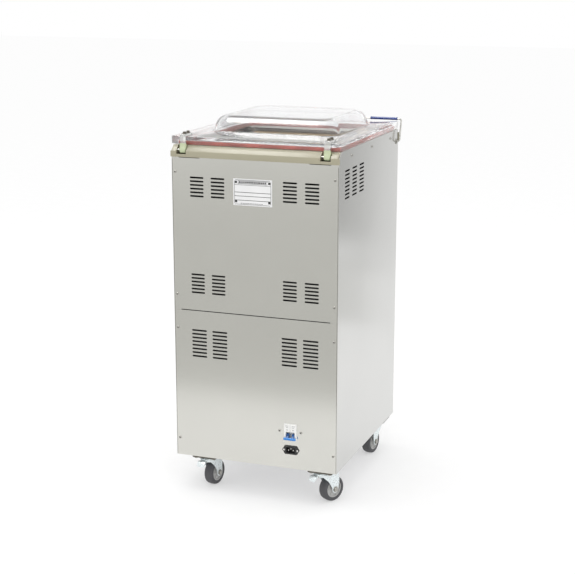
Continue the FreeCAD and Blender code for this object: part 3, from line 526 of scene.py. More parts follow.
def clear_lid():
    """The acrylic moulding: plate, hollow dome and the groove for the gasket below."""
    bm = bmesh.new()
    outside = plate_edge() + dome_rings(-3, DOME_TOP - CROWN, 34, 7, PLATE_TOP)
    inside = dome_rings(DOME_WALL, DOME_TOP - DOME_WALL - CROWN, 26, 3, PLATE_TOP - 6)[::-1]
    half_x, half_y = DOME_HALF[0] - DOME_WALL, DOME_HALF[1] - DOME_WALL
    corner = DOME_CORNER - DOME_WALL
    inside.append(ring_at(half_x + 0.5, half_y + 0.5, corner, LID_LOW + 2, DOME_MID))
    inside.append(ring_at(half_x + 2.5, half_y + 2.5, corner + 2, LID_LOW, DOME_MID))
    groove_top = LID_LOW + GROOVE_DEEP
    groove = [(GROOVE_IN, LID_LOW), (GROOVE_IN, groove_top), (GROOVE_OUT, groove_top), (GROOVE_OUT, LID_LOW)]
    inside += [rim_ring(inset, z) for inset, z in groove]
    loft(bm, outside, cap_end=True)
    loft(bm, inside, cap_start=True)
    loft(bm, [inside[-1], outside[0]])
    return add("clear_lid", bm, "lid", "acrylic", ["lid_dome"], sharp=50)


def gasket():
    """A soft ring with a rounded face, sunk in the lid's groove."""
    bm = bmesh.new()
    low, top = 1013.5, 1023.5
    section = [(12.2, top), (12.2, low + 3), (12.6, low + 1.2), (13.8, low + 0.2), (16, low),
               (18.2, low + 0.2), (19.4, low + 1.2), (19.8, low + 3), (19.8, top)]
    loft(bm, [rim_ring(inset, z) for inset, z in section], closed=True)
    return add("gasket_ring", bm, "lid", "gasket", ["lid_gasket"], sharp=60)


clear_lid()
gasket()


# ---------------------------------------------------------------- rails

HINGE_X = 211
NOTCH_HALF = 15
NOTCH_SHIFT = 3
RAIL_END, LIP_END = 243.3, 247.5
LIP_OUT, LIP_IN = 294.5, 288.8
RIDGE_Y, STEP_Y, UNDER_Z = 277, 271.9, 989.6


def rail_body(bm, sign, low, top, start, end):
    """A length of the rail: a lip over the sheet, then a slope up to the deck."""
    profile = [(LIP_OUT, low), (LIP_OUT, top - 1.6), (LIP_OUT - 0.8, top + 0.6), (RIDGE_Y, DECK_Z),
               (STEP_Y, DECK_Z), (STEP_Y, UNDER_Z), (LIP_IN, UNDER_Z), (LIP_IN, low)]
    prism(bm, [(sign * y, z) for y, z in profile], start, end, "X")


def lip_end(bm, side, sign, low, top):
    """The rounded end of the lip, which runs past the rail's end."""
    start, face, back, radius = RAIL_END - 13, LIP_OUT + 0.1, LIP_IN + 0.1, 5
    middle_x, middle_y = LIP_END - radius, face - radius
    outline = [(start, back), (LIP_END, back), (LIP_END, back + 0.9)]
    for k in range(7):
        angle = math.radians(15 * k)
        outline.append((middle_x + radius * math.cos(angle), middle_y + radius * math.sin(angle)))
    outline.append((start, face))
    prism(bm, [(side * x, sign * y) for x, y in outline], low, top - 0.8)


def rail(name, sign, low, top, cad_node, notches):
    """A bull-nosed bar with a thick lip, made in lengths between its hinge notches."""
    bm = bmesh.new()
    stops = [-RAIL_END, RAIL_END]
    if notches:
        notch_mids = (NOTCH_SHIFT - HINGE_X, NOTCH_SHIFT + HINGE_X)
        sides = [x + half for x in notch_mids for half in (-NOTCH_HALF, NOTCH_HALF)]
        stops = [-RAIL_END] + sides + [RAIL_END]
        for x in notch_mids:
            bridge_top = UNDER_Z - 0.1
            block(bm, (2 * NOTCH_HALF + 8, 5.2, bridge_top - low - 0.1), (x, 291.6, (bridge_top + low) / 2))
    for start, end in zip(stops[::2], stops[1::2]):
        rail_body(bm, sign, low, top, start, end)
    for side in (-1, 1):
        lip_end(bm, side, sign, low, top)
    block(bm, (2 * RAIL_END - 0.4, 10.2, 23.2), (0, sign * 267.2, 1001.3))
    return add(name, bm, "cabinet", "rail", [cad_node], bevel=1.0)


rail("back_rail", 1, 981.5, 998, "hinge_rail", True)
rail("front_rail_bar", -1, 975, 1002, "front_rail", False)


# ---------------------------------------------------------------- hinges

BLOCK_TOP = 1043.6


def hinge(name, x):
    """A coloured knuckle that narrows downwards, and the clear bracket that clasps the lid above it."""
    bm = bmesh.new()
    levels = [(991.8, 7.2, 280.2, 287.8), (993.6, 7.9, 277.6, 290.4), (997, 8.5, 276.0, 292.2),
              (1001, 8.9, 276.0, 292.3), (1006, 9.3, 276.4, 290.6), (1010, 9.6, 278.5, 287.4),
              (1018.4, 9.9, 284.5, 287.4)]
    rings = []
    for z, half, inner, outer in levels:
        thick = outer - inner
        outline = round_rect(half, thick / 2, min(2.0, thick * 0.3), (x, (outer + inner) / 2), 4)
        rings.append([(u, v, z) for u, v in outline])
    loft(bm, rings, cap_start=True, cap_end=True)
    add("hinge_knuckle_" + name, bm, "lid", "alloy_green", ["hinge_arm_" + name], sharp=40)
    bm = bmesh.new()
    profile = [(284.5, 1018.7), (287.4, 1018.7), (287.4, 1041.5), (285, BLOCK_TOP), (240, BLOCK_TOP),
               (238.4, BLOCK_TOP - 1.6), (238.4, PLATE_TOP + 0.2), (284.5, PLATE_TOP + 0.2)]
    prism(bm, profile, x - 8.7, x + 8.7, "X")
    add("hinge_block_" + name, bm, "lid", "hinge_clear", (), bevel=1.0)


for name, x in (("left", HINGE_X), ("right", -HINGE_X)):
    hinge(name, x)


def cap_bolts():
    """Socket-head bolts with washers on the hinge blocks."""
    bm = bmesh.new()
    profile = [(2.4, 4.2), (2.4, 6.0), (4.0, 6.0), (4.6, 5.4), (4.6, 1.0), (6.4, 1.0), (6.8, 0.6), (6.8, 0),
               (0, 0)]
    socket_floor = [(0, 4.2), (2.4, 4.2)]
    for x in (-HINGE_X, HINGE_X):
        for y in (250, 274):
            seat = (x, y, BLOCK_TOP + 0.2)
            lathe(bm, profile, seat, "Z", 24)
            lathe(bm, socket_floor, seat, "Z", 24)
    add("hinge_cap_bolts", bm, "lid", "dark_bolt", ["hinge_bolts"], sharp=30)


cap_bolts()


# ---------------------------------------------------------------- screws

SIDE_SCREW_Z = 992.5
BREAKER_X, BREAKER_Z = -108, 214
BREAKER_SCREWS_X = (-75, -139)


def pan_heads():
    """Pan heads on every sheet, each with a flat dark cross on top: painted shade for the cross recess."""
    spots = []
    for height in (834, 483, 385, 52):
        for x in (-235, 235):
            spots.append(((x, SHEET_Y, BASE_Z + height), (0, 1, 0)))
            spots.append(((x, -SHEET_Y, BASE_Z + height), (0, -1, 0)))
    for y in (175.6, -14.7, -203.7):
        spots.append(((SHEET_X, y, SIDE_SCREW_Z), (1, 0, 0)))
        spots.append(((-SHEET_X, y, SIDE_SCREW_Z), (-1, 0, 0)))
    for x in BREAKER_SCREWS_X:
        spots.append(((x, SHEET_Y, BREAKER_Z + 1.5), (0, 1, 0)))
    head = [(4.0, 0), (4.0, 0.7), (3.6, 1.4), (2.8, 1.9), (1.5, 2.15), (0, 2.2)]
    heads, crosses = bmesh.new(), bmesh.new()
    for middle, out in spots:
        bm = bmesh.new()
        lathe(bm, head, ORIGIN, "Z", 28)
        spin = random.uniform(0, 90)
        turn = Vector((0, 0, 1)).rotation_difference(Vector(out)).to_matrix().to_4x4()
        place = Matrix.Translation(middle) @ turn @ Matrix.Rotation(math.radians(spin), 4, "Z")
        drop_in(heads, bm, place)
        # The cross recess is a flat mark in the black print material: painted shade where the recess would be
        # shaded.
        cross = bmesh.new()
        block(cross, (4.4, 1.0, 0.3), (0, 0, 2.09))
        block(cross, (1.0, 4.4, 0.3), (0, 0, 2.09))
        drop_in(crosses, cross, place)
    add("panel_screw_heads", heads, "cabinet", "screw", ["panel_screws"], sharp=45)
    add("panel_screw_recess_painted_shade", crosses, "cabinet", "ink", ())


pan_heads()


def corner_seams():
    """The dark joint lines where the back and front sheets meet the sides."""
    bm = bmesh.new()
    seam_x, seam_y = SHEET_X - 1.6, SHEET_Y + 0.05
    for x in (-seam_x, seam_x):
        for y in (-seam_y, seam_y):
            block(bm, (0.8, 0.2, 868), (x, y, 541))
    add("corner_seams", bm, "cabinet", "seam_and_shade_black", ())


corner_seams()


def vent_painted_shade_backing():
    """Painted shade: dark sheets behind the air vents, a little way inside the panels, for the shade inside
    the cabinet.
    """
    bm = bmesh.new()
    block(bm, (420, 1.6, 520), (0, 276, 660))
    for side in (-1, 1):
        block(bm, (1.6, 200, 130), (side * 236, 150, 910))
    add("vent_painted_shade_backing", bm, "cabinet", "seam_and_shade_black", (), bevel=0.3)


vent_painted_shade_backing()


# ---------------------------------------------------------------- rating plate

PLATE_MID, PLATE_LOW, PLATE_HIGH = 3, 855.5, 929.5
PRINT_Y, PRINT_THICK = 289.125, 0.25


def mark(bm, x, z, wide, high, extra=0.0):
    """A printed bar on the plate, x from its middle."""
    block(bm, (wide, PRINT_THICK + extra, high), (PLATE_MID + x, PRINT_Y, z))


def bars(bm, half, widths, high, gap, z):
    """A row of blank bars of uneven widths, in place of words."""
    x = -half[0]
    while x < half[1]:
        wide = random.uniform(*widths)
        mark(bm, x + wide / 2, z, wide, high)
        x += wide + gap


def plate_print():
    """A printed frame, a header of blank bars, ruled lines and corner marks; no lettering."""
    rules = bmesh.new()
    mark(rules, 0, PLATE_HIGH - 3.2, 106, 1.0)
    mark(rules, 0, PLATE_LOW + 3.2, 106, 1.0)
    mark(rules, 0, PLATE_HIGH - 17, 106, 0.9)
    for drop in (37.5, 48, 59.5):
        mark(rules, 0, PLATE_HIGH - drop, 106, 1.4)
    for x in (-53.4, 53.4):
        mark(rules, x, (PLATE_HIGH + PLATE_LOW) / 2, 0.9, 68)
    for x in (-49, 49):
        for z in (PLATE_HIGH - 9.5, PLATE_LOW + 11):
            mark(rules, x, z, 6.5, 6.5, extra=0.2)
    for drop in (5.6, 13.4):
        mark(rules, 0, PLATE_HIGH - drop, 88, 1.2)
    add("rating_plate_rules", rules, "cabinet", "ink", ())
    header = bmesh.new()
    bars(header, (40, 38), (3.5, 7.5), 4.2, 1.4, PLATE_HIGH - 9.5)
    bars(header, (30, 30), (3, 8), 1.2, 1.2, PLATE_LOW + 6.2)
    add("rating_plate_header", header, "cabinet", "ink", ())


plate_print()


# ---------------------------------------------------------------- breaker and inlet

TOGGLE_Y, TOGGLE_Z, TOGGLE_TILT = 286, 204, math.radians(-35)


def breaker():
    """The two-pole breaker: a case with a recess, its bezel and marks, and the linked levers."""
    case = bmesh.new()
    pole = [(18.2, -24.2), (0.3, -24.2), (0.3, -22.5), (13.5, -22.5), (13.5, 1), (0.3, 1), (0.3, 24.2),
            (18.2, 24.2)]
    for side in (-1, 1):
        prism(case, [(BREAKER_X + side * x, BREAKER_Z + z) for x, z in pole], 279, 293.5, "Y")
    add("breaker_case", case, "cabinet", "breaker", ["breaker_body"], bevel=0.7)
    bezel = bmesh.new()
    rings = []
    for half_x, half_z, y in ((17.8, 23.8, 288.6), (19.2, 25.2, 288.6), (19.2, 25.2, 289.3),
                              (17.8, 23.8, 289.6)):
        outline = round_rect(half_x, half_z, 1.5, (BREAKER_X, BREAKER_Z), 3)
        rings.append([(x, y, z) for x, z in outline])
    loft(bezel, rings, closed=True)
    add("breaker_bezel", bezel, "cabinet", "breaker", (), bevel=0.2)
    inner = bmesh.new()
    block(inner, (36.4, 34, 46), (BREAKER_X, 262, BREAKER_Z))
    add("breaker_inner", inner, "cabinet", "breaker", (), bevel=0.8)
    marks = bmesh.new()
    for x, z, wide, high in ((10, 19, 9, 1.2), (9, 14.5, 6, 1.2), (9, 7.5, 3, 2.6)):
        for side in (-1, 1):
            block(marks, (wide, 0.3, high), (BREAKER_X + side * x, 293.6, BREAKER_Z + z))
    add("breaker_marks", marks, "cabinet", "ink_grey", ())
    toggle()


def toggle():
    """Two levers with their barrels, linked by a bar."""
    tilt = Matrix.Translation((BREAKER_X, TOGGLE_Y, TOGGLE_Z)) @ Matrix.Rotation(TOGGLE_TILT, 4, "X")
    levers = bmesh.new()
    for x in (-8.5, 8.5):
        lathe(levers, [(0, -4), (4.6, -4), (4.6, 4), (0, 4)], (x, 0, 0), "X", 24)
        block(levers, (7.6, 12, 4.8), (x, 6, 0))
    add("breaker_levers", levers, "breaker_switch", "toggle_dark", (), bevel=0.6, place=tilt)
    bar = bmesh.new()
    prism(bar, [(11.6, -3.6), (16.2, -3.6), (17.4, -1.8), (17.4, 2.2), (11.6, 3.6)], -18, 18, "X")
    add("breaker_link_bar", bar, "breaker_switch", "toggle", ["breaker_toggle"], bevel=1.0,
        place=tilt)


breaker()

INLET_X, INLET_Z = -109, 161


def hexagon(half_x, flat_x, half_z):
    """The inlet's long six-sided outline."""
    return [(-half_x, 0), (-flat_x, -half_z), (flat_x, -half_z), (half_x, 0), (flat_x, half_z),
            (-flat_x, half_z)]


def inlet():
    """The mains inlet: a six-sided flange round a socket, its side screws and three blades."""
    body = bmesh.new()
    flange = hexagon(26, 17.5, 13)
    socket = hexagon(12.5, 12.5, 8.5)
    rings = []
    for outline, grow, y in ((flange, 1.0, 288.6), (flange, 1.0, 290.6), (flange, 0.965, 291.4),
                             (socket, 1.16, 291.6), (socket, 1.1, 292.6), (socket, 1.02, 292.6),
                             (socket, 1.0, 291.6), (socket, 1.0, 271.5)):
        rings.append([(INLET_X + grow * x, y, INLET_Z + grow * z) for x, z in outline])
    loft(body, rings, cap_end=True)
    block(body, (39.6, 16, 20.6), (INLET_X, 272.4, INLET_Z))
    add("inlet_flange", body, "cabinet", "black", ["power_inlet"], bevel=0.35)
    screws = bmesh.new()
    for x in (-20.3, 20.3):
        lathe(screws, [(2.9, 0), (2.9, 0.5), (1.9, 1.2), (0, 1.4)], (INLET_X + x, 0, 0), "Z", 20)
    turn = Matrix.Translation((0, 291.3, INLET_Z)) @ Matrix.Rotation(math.radians(-90), 4, "X")
    add("inlet_screws", screws, "cabinet", "screw_light", (), place=turn)
    blades = bmesh.new()
    for x, z in ((0, 4), (-7, -1), (7, -1)):
        block(blades, (2.2, 17, 4.2), (INLET_X + x, 280.6, INLET_Z + z))
    add("inlet_blades", blades, "cabinet", "screw_light", (), bevel=0.4)


inlet()


# ---------------------------------------------------------------- lever

LEVER_Y, LEVER_Z = -268, 976
GRIP_Y, GRIP_Z = -285.5, 1042.5
GRIP_START, GRIP_LONG = -243, 85


def lever():
    """The locking lever's bent rod, and its grip with a collar at each end."""
    rod = bmesh.new()
    corners = [(-232, LEVER_Y, LEVER_Z), (-255, LEVER_Y, LEVER_Z), (-255, GRIP_Y, GRIP_Z),
               (-141, GRIP_Y, GRIP_Z)]
    tube(rod, rounded_path(corners, 7), 2.4, 20)
    add("lock_lever_rod", rod, "lock_lever", "rod", ["lock_rod"], bevel=0.4)
    grip = bmesh.new()
    bore, waist, collar = 2.45, 4.15, 4.5
    profile = [(bore, 0), (3.9, 0), (collar, 0.8), (collar, 3), (waist, 4.2)]
    for k in range(1, 12):
        profile.append((waist + 0.12 * math.sin(k * 1.3), 4.2 + k * 6.4))
    profile += [(waist, GRIP_LONG - 4.2), (collar, GRIP_LONG - 3), (collar, GRIP_LONG - 0.8),
                (3.9, GRIP_LONG), (bore, GRIP_LONG)]
    lathe(grip, profile, ORIGIN, "Z", 32, closed=True)
    turn = Matrix.Translation((GRIP_START, GRIP_Y, GRIP_Z)) @ Matrix.Rotation(math.radians(90), 4, "Y")
    add("lock_lever_grip", grip, "lock_lever", "grip", ["lock_grip"], place=turn)


lever()


# ---------------------------------------------------------------- castors

WHEEL_MID = (30, 0, 37.5)
PEDAL_PIN = (-27, 0, 86)
PEDAL_BEND = ((-31.5, 88.4, 10), (-33, 89.4, 11), (-35, 89.6, 12), (-38.5, 88.4, 12.4), (-41.5, 85.6, 12.4),
              (-44, 81.6, 12), (-46, 76, 11))
PLATE_HALF, BOLT_SPOTS = 37, (-28, 28)


def mirrored(half_profile):
    """A wheel's (radius, across) points from one side on to the other."""
    return half_profile + [(radius, -across) for radius, across in half_profile[::-1]]


def castor_fork(corner, place):
    """Two legs down to the axle, and a crown with a bell under it."""
    fork = "fork_" + corner
    legs = bmesh.new()
    outline = [(-14, 93.8), (-16, 88), (-12, 80), (2, 68), (12, 55), (18.5, 43)]
    for k in range(9):
        angle = math.radians(200 + 20 * k)
        outline.append((WHEEL_MID[0] + 11 * math.cos(angle), WHEEL_MID[2] + 11 * math.sin(angle)))
    outline += [(42, 46), (44.5, 60), (44.5, 78), (42, 88), (36, 93.8)]
    for low, high in ((-18.5, -16), (16, 18.5)):
        prism(legs, outline, low, high, "Y")
    add("castor_legs_" + corner, legs, fork, "zinc", ["castor_fork_" + corner], bevel=0.8,
        place=place)
    crown = bmesh.new()
    sheet = [(-15, -18.4), (34, -18.4), (41, -13), (43, 0), (41, 13), (34, 18.4), (-15, 18.4), (-24, 13),
             (-29, 10), (-29, -10), (-24, -13)]
    prism(crown, sheet, 91, 94)
    for across in (-8, 8):
        block(crown, (9, 2.6, 9), (-26, across, 88))
    bell = [(9, 91.6), (21, 91.6), (23.4, 90.4), (24, 88), (22.6, 82.5), (21.4, 82.8), (21.8, 88), (20, 89.6),
            (9, 89.6)]
    lathe(crown, bell, ORIGIN, "Z", 40, closed=True)
    add("castor_crown_" + corner, crown, fork, "zinc", (), bevel=0.9, place=place)
    pins = bmesh.new()
    axle = mirrored([(0, -23), (5.6, -23), (6.5, -22.2), (6.5, -19.6), (8.6, -19.6), (8.6, -18.6),
                     (4, -18.6)])
    lathe(pins, axle, WHEEL_MID, "Y", 30)
    lathe(pins, [(0, -9.6), (2, -9.6), (2, 9.6), (0, 9.6)], PEDAL_PIN, "Y", 16)
    add("castor_axle_" + corner, pins, fork, "screw", (), place=place, sharp=30)


def castor_wheel(corner, place):
    """A rounded tread on a ribbed core."""
    wheel = "wheel_" + corner
    tread = bmesh.new()
    profile = mirrored([(26, -13), (27.5, -13.4), (33, -13.4), (35, -12.6), (36.4, -10.6), (37.2, -7),
                        (37.5, -2.5)])
    lathe(tread, profile, WHEEL_MID, "Y", 72, closed=True)
    add("castor_tread_" + corner, tread, wheel, "tyre", ["castor_tyre_" + corner], place=place,
        sharp=50)
    core = bmesh.new()
    profile = mirrored([(4.1, -15.2), (8.6, -15.2), (9.6, -14.4), (9.6, -9), (12, -7.8), (20, -7.8),
                        (22.3, -8.6), (23.2, -12.4), (25, -12.8), (25.9, -12)])
    lathe(core, profile, WHEEL_MID, "Y", 72, closed=True)
    for k in range(6):
        ribs = bmesh.new()
        for side in (-1, 1):
            block(ribs, (12.5, 3.2, 2.2), (16, side * 8.4, 0))
        drop_in(core, ribs, Matrix.Translation(WHEEL_MID) @ Matrix.Rotation(math.radians(60 * k), 4, "Y"))
    add("castor_core_" + corner, core, wheel, "hub", ["castor_hub_" + corner], place=place,
        sharp=40)


def castor_pedal(corner, place):
    """The brake pedal: a barrel on its pin, a neck, and a tread plate bent down between two cheeks."""
    pedal = bmesh.new()
    lathe(pedal, [(2.3, -6), (4.2, -6), (4.2, 6), (2.3, 6)], PEDAL_PIN, "Y", 20, closed=True)
    prism(pedal, [(-29, 84.4), (-34, 84.6), (-34, 88.4), (-29, 89.4)], -5.8, 5.8, "Y")
    rows = []
    for u, v, half in PEDAL_BEND:
        rows.append([(u, -half, v), (u, half, v), (u + 1.6, half, v - 2.2), (u + 1.6, -half, v - 2.2)])
    loft(pedal, rows, cap_start=True, cap_end=True)
    cheek = [(-33.5, 88), (-34, 84), (-37, 80.4), (-44, 76), (-43.6, 80), (-40.5, 85), (-35.4, 88.4)]
    for across in (-10.6, 10.6):
        prism(pedal, cheek, across - 0.9, across + 0.9, "Y")
    add("castor_tread_plate_" + corner, pedal, "pedal_" + corner, "zinc", ["castor_pedal_" + corner],
        bevel=0.5, place=place)


for corner, (x, y, heading) in CASTORS.items():
    spot = Matrix.Translation((x, y, 0)) @ Matrix.Rotation(math.radians(heading), 4, "Z")
    castor_fork(corner, spot)
    castor_wheel(corner, spot)
    castor_pedal(corner, spot)


def castor_mounts():
    """The plates under the base, painted dark as the shadow gap under it, with the swivel races and the
    bolts' heads.
    """
    plates, races, bolts = bmesh.new(), bmesh.new(), bmesh.new()
    race = [(5.2, -10.5), (20, -10.5), (23, -9), (24, -6.5), (24, -4.9), (5.2, -4.9)]
    head = [(0, -9), (5.2, -9), (6, -8.2), (6, -5), (0, -5)]
    for x, y, _ in CASTORS.values():
        prism(plates, round_rect(PLATE_HALF, PLATE_HALF, 5, (x, y), 5), BASE_Z - 5, BASE_Z - 0.1)
        lathe(races, race, (x, y, BASE_Z), "Z", 40, closed=True)
        for a in BOLT_SPOTS:
            for b in BOLT_SPOTS:
                lathe(bolts, head, (x + a, y + b, BASE_Z), "Z", 6)
    # The top plates take the dark painted-shade material.
    add("castor_top_plates", plates, "cabinet", "race", ["castor_plates"], bevel=0.6)
    add("castor_races", races, "cabinet", "zinc", ())
    add("castor_plate_bolts", bolts, "cabinet", "screw", ["castor_bolts"], sharp=20)


castor_mounts()


# ---------------------------------------------------------------- inside the chamber

BAR_Y, BAR_TOP = 203, 995.9
TAPE_HALF, CLAMP_X = 186, 193.5
PAD_HALF, PAD_FACE, GROOVE_TOP, RIB_STEP = 200, 1008.4, 1008.9, 1.3


def seal_bar(end, y):
    """A bar with the heating strip under brown tape, clamped at both ends."""
    tape = bmesh.new()
    over = [(-10.4, 978), (-10.4, 995.2), (-3.7, 995.4), (-3.3, BAR_TOP + 0.15), (3.3, BAR_TOP + 0.15),
            (3.7, 995.4), (10.4, 995.2), (10.4, 978)]
    under = [(10.05, 978), (10.05, 995.05), (3.3, 995.05), (3.1, BAR_TOP + 0.05), (-3.1, BAR_TOP + 0.05),
             (-3.3, 995.05), (-10.05, 995.05), (-10.05, 978)]
    prism(tape, [(y + across, z) for across, z in over + under], -TAPE_HALF, TAPE_HALF, "X")
    add("seal_tape_" + end, tape, end + "_seal_bar", "tape", ())
    clamps = bmesh.new()
    for out in (-1, 1):
        block(clamps, (11, 20.8, 0.8), (out * CLAMP_X, y, 995.5))
        for side in (-1, 1):
            block(clamps, (11, 1.2, 12), (out * CLAMP_X, y + side * 10.7, 989.6))
        screw = [(3.2, 0), (3.2, out * 1.2), (2.4, out * 1.9), (0, out * 2.1)]
        lathe(clamps, screw, (out * 200.1, y, 984), "X", 20)
    add("seal_clamps_" + end, clamps, end + "_seal_bar", "screw_light", (), bevel=0.3)


seal_bar("front", -BAR_Y)
seal_bar("rear", BAR_Y)


def press_pads():
    """Two silicone pads under the lid, with a ribbed face and rounded shoulders."""
    pads = bmesh.new()
    section = [(-8, LID_LOW), (-8, 1010.5), (-7.2, 1009), (-6, PAD_FACE)]
    for k in range(-4, 4):
        rib = k * RIB_STEP
        section += [(rib, PAD_FACE), (rib + 0.4, GROOVE_TOP), (rib + 0.9, GROOVE_TOP)]
    section += [(5.2, PAD_FACE), (6, PAD_FACE), (7.2, 1009), (8, 1010.5), (8, LID_LOW)]
    for y in (-BAR_Y, BAR_Y):
        prism(pads, [(y + across, z) for across, z in section], -PAD_HALF, PAD_HALF, "X")
    add("press_pads", pads, "lid", "silicone", ["press_bars"], sharp=30)


press_pads()


# ---------------------------------------------------------------- front controls

FRONT = -SHEET_Y
CONTROL_Z = 880
GAUGE_X, STOP_X, PAD_X = -150, 160, 5
OVERLAY_Y, INK_Y = -290.15, -290.16
KEY_HALF = 7.5
DIAL_START = 135


def facing(x, z):
    """Turns a shape built along +Z to stand out of the front at (x, z)."""
    return Matrix.Translation((x, FRONT, z)) @ Matrix.Rotation(math.radians(90), 4, "X")


def gauge():
    """A dial in a rounded bezel, with a graduated arc and a tapered pointer."""
    place = facing(GAUGE_X, CONTROL_Z)
    case = bmesh.new()
    profile = [(0, 1.0), (29, 1.0), (29, 3.4), (29.6, 4.0), (32.4, 4.0), (33.6, 3.2), (34, 1.8), (34, 0),
               (30, 0), (30, -26), (0, -26)]
    lathe(case, profile, ORIGIN, "Z", 72)
    add("gauge_case", case, "cabinet", "black", ["vacuum_gauge"], place=place, sharp=35)
    dial = bmesh.new()
    lathe(dial, [(0, 1.45), (28.2, 1.45), (28.7, 1.2), (28.7, 1.02), (0, 1.02)], ORIGIN, "Z", 72)
    add("gauge_face", dial, "cabinet", "gauge", (), place=place)
    scale = bmesh.new()
    for k in range(31):
        wide, high, middle = (0.9, 4.6, 23.6) if k % 5 == 0 else (0.4, 2.6, 24.6)
        tick = bmesh.new()
        block(tick, (wide, high, 0.12), (0, middle, 1.5))
        drop_in(scale, tick, Matrix.Rotation(math.radians(DIAL_START - 9 * k), 4, "Z"))
    add("gauge_scale", scale, "cabinet", "ink", (), place=place)
    pointer = bmesh.new()
    prism(pointer, [(-1.5, -7), (1.5, -7), (0.9, 0), (0.35, 23), (-0.35, 23), (-0.9, 0)], 1.8, 2.3)
    lathe(pointer, [(0, 1.5), (3, 1.5), (3, 2.7), (2.2, 3.1), (0, 3.2)], ORIGIN, "Z", 28)
    add("gauge_hand", pointer, "gauge_pointer", "ink", ["gauge_needle"],
        place=place @ Matrix.Rotation(math.radians(DIAL_START), 4, "Z"))


def stop():
    """A mushroom head over a collar."""
    place = facing(STOP_X, CONTROL_Z)
    head = bmesh.new()
    profile = [(0, -10), (11, -10), (11, 8.6), (13.2, 9.2), (14.8, 10.4), (15, 12.4), (14.2, 14.8),
               (11.6, 16.2), (6, 16.9), (0, 17)]
    lathe(head, profile, ORIGIN, "Z", 56)
    add("stop_head", head, "stop_knob", "stop", ["stop_button"], place=place, sharp=50)
    collar = bmesh.new()
    profile = [(11.6, 0.1), (19, 0.1), (19, 1.8), (17.6, 3.4), (13, 3.8), (11.6, 3.4)]
    lathe(collar, profile, ORIGIN, "Z", 56, closed=True)
    add("stop_collar", collar, "cabinet", "black", (), place=place, sharp=35)


def keypad():
    """The display window, lamps and legends on the overlay, and dished key caps."""
    window = bmesh.new()
    prism(window, round_rect(34, 11, 2, (PAD_X, CONTROL_Z + 20), 4), -290.6, OVERLAY_Y, "Y")
    add("display_window", window, "cabinet", "window", (), bevel=0.15)
    lit, ink = bmesh.new(), bmesh.new()
    lamp = [(0, -1), (1, -0.95), (1.8, -0.6), (2, 0), (0, 0)]
    for x in (-48, -38, 38, 48):
        lathe(lit, lamp, (PAD_X + x, OVERLAY_Y, CONTROL_Z + 20), "Y", 20)
    for x in (-38, 0, 38):
        block(ink, (17, 0.12, 0.8), (PAD_X + x, INK_Y, CONTROL_Z - 34))
        block(ink, (11, 0.12, 1.4), (PAD_X + x, INK_Y, CONTROL_Z - 5))
    for side in (-1, 1):
        block(ink, (0.6, 0.12, 70), (PAD_X + side * 60, INK_Y, CONTROL_Z))
        block(ink, (120, 0.12, 0.6), (PAD_X, INK_Y, CONTROL_Z + side * 35.3))
    add("display_lamps", lit, "cabinet", "lamp", ())
    add("keypad_legends", ink, "cabinet", "gauge", ())
    for x, side in ((-38, "left"), (0, "middle"), (38, "right")):
        key = bmesh.new()
        rings = []
        for half, y in ((KEY_HALF, -285.2), (KEY_HALF, -291.2), (7.1, -291.9), (6.4, -292.1), (5.2, -291.7)):
            outline = round_rect(half, half, 2 * half / KEY_HALF, (PAD_X + x, CONTROL_Z - 22), 5)
            rings.append([(u, y, v) for u, v in outline])
        loft(key, rings, cap_start=True, cap_end=True)
        add("key_cap_" + side, key, side + "_key", "key", ["key_" + side], sharp=50)


gauge()
stop()
keypad()


# ---------------------------------------------------------------- stage, light, camera

FLOOR_HALF, FLOOR_GLOW = 20, 0.43


def staged(name, corners, mat):
    """A flat sheet of the studio, with one material; never part of the product."""
    mesh = bpy.data.meshes.new(name)
    mesh.from_pydata(corners, [], [tuple(range(len(corners)))])
    mesh.materials.append(mat)
    obj = bpy.data.objects.new(name, mesh)
    scene.collection.objects.link(obj)
    return obj


def studio_floor():
    """A matt floor that glows a little, so that it runs into the background."""
    mat = coated("floor_finish", (0.55, 0.55, 0.55), 0.8, grain=3, depth=0.0001, spread=0.01)
    finish = bsdf_of(mat).inputs
    finish["Emission Color"].default_value = (1, 1, 1, 1)
    finish["Emission Strength"].default_value = FLOOR_GLOW
    finish["Specular IOR Level"].default_value = 0.0
    half = FLOOR_HALF
    staged("floor", [(-half, -half, 0), (half, -half, 0), (half, half, 0), (-half, half, 0)], mat)


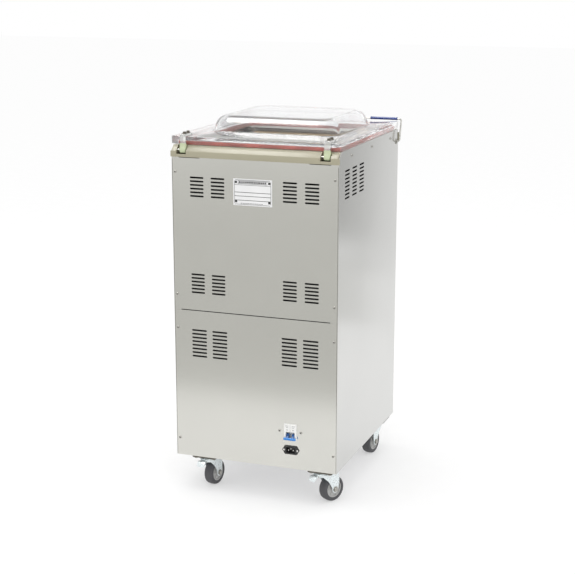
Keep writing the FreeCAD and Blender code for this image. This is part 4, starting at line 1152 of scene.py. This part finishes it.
def reflector(name, corners, value):
    """An evenly lit card that shows only in reflections."""
    mat = shader(name + "_grey", (0, 0, 0), 1.0, Emission_Strength=1.0)
    bsdf_of(mat).inputs["Emission Color"].default_value = (value, value, value * 0.98, 1)
    bsdf_of(mat).inputs["Specular IOR Level"].default_value = 0
    card = staged(name, corners, mat)
    card.visible_camera = False
    card.visible_diffuse = False
    card.visible_shadow = False
    card.visible_transmission = False


studio_floor()
reflector("dark_room", [(-3, 1.15, 0.01), (6, 1.15, 0.01), (6, 7, 0.01), (-3, 7, 0.01)], 0.70)
reflector("dark_side", [(-3, -2.5, 0.3), (-1.13, -2.5, 0.18), (-1.05, -2.5, 0.02), (-1.0, -2.5, 0.02),
                        (-1.0, -2.5, 1.3), (-3, -2.5, 1.3)], 0.5)
reflector("dark_side_low", [(-3, -1.6, 0.02), (-0.74, -1.6, 0.02), (-0.78, -1.6, 0.30), (-3, -1.6, 0.30)],
          0.78)
reflector("softbox", [(0.2, -0.7, 3.4), (1.8, -0.7, 3.4), (1.8, 1.8, 3.4), (0.2, 1.8, 3.4)], 9.0)

world = bpy.data.worlds.new("studio")
scene.world = world
world.use_nodes = True
world.node_tree.nodes["Background"].inputs["Color"].default_value = (1, 1, 1, 1)
world.node_tree.nodes["Background"].inputs["Strength"].default_value = 1.0


def area(name, place, target, size, power):
    """A round area light that faces its target."""
    data = bpy.data.lights.new(name, "AREA")
    data.shape = "DISK"
    data.size = size
    data.energy = power
    obj = bpy.data.objects.new(name, data)
    obj.location = place
    obj.rotation_euler = (Vector(target) - Vector(place)).to_track_quat("-Z", "Y").to_euler()
    scene.collection.objects.link(obj)


area("overhead", (0.3, 0.2, 3.6), (0, 0, 0), 3.0, 26)
area("key", (-2.2, 2.6, 2.8), (0, 0, 0.6), 1.6, 14)

# The photo's view: from the back, a little to the right and above.
CAMERA_SPOT, CAMERA_AIM = (-1.371, 3.747, 1.5243), (0.3356, -0.9122, -0.2348)
camera_data = bpy.data.cameras.new("camera")
camera_data.sensor_width = 36
camera_data.lens = 86.08
camera = bpy.data.objects.new("camera", camera_data)
camera.location = CAMERA_SPOT
camera.rotation_euler = Vector(CAMERA_AIM).to_track_quat("-Z", "Y").to_euler()
scene.collection.objects.link(camera)
scene.camera = camera
scene.view_settings.view_transform = "Standard"
scene.view_settings.look = "None"
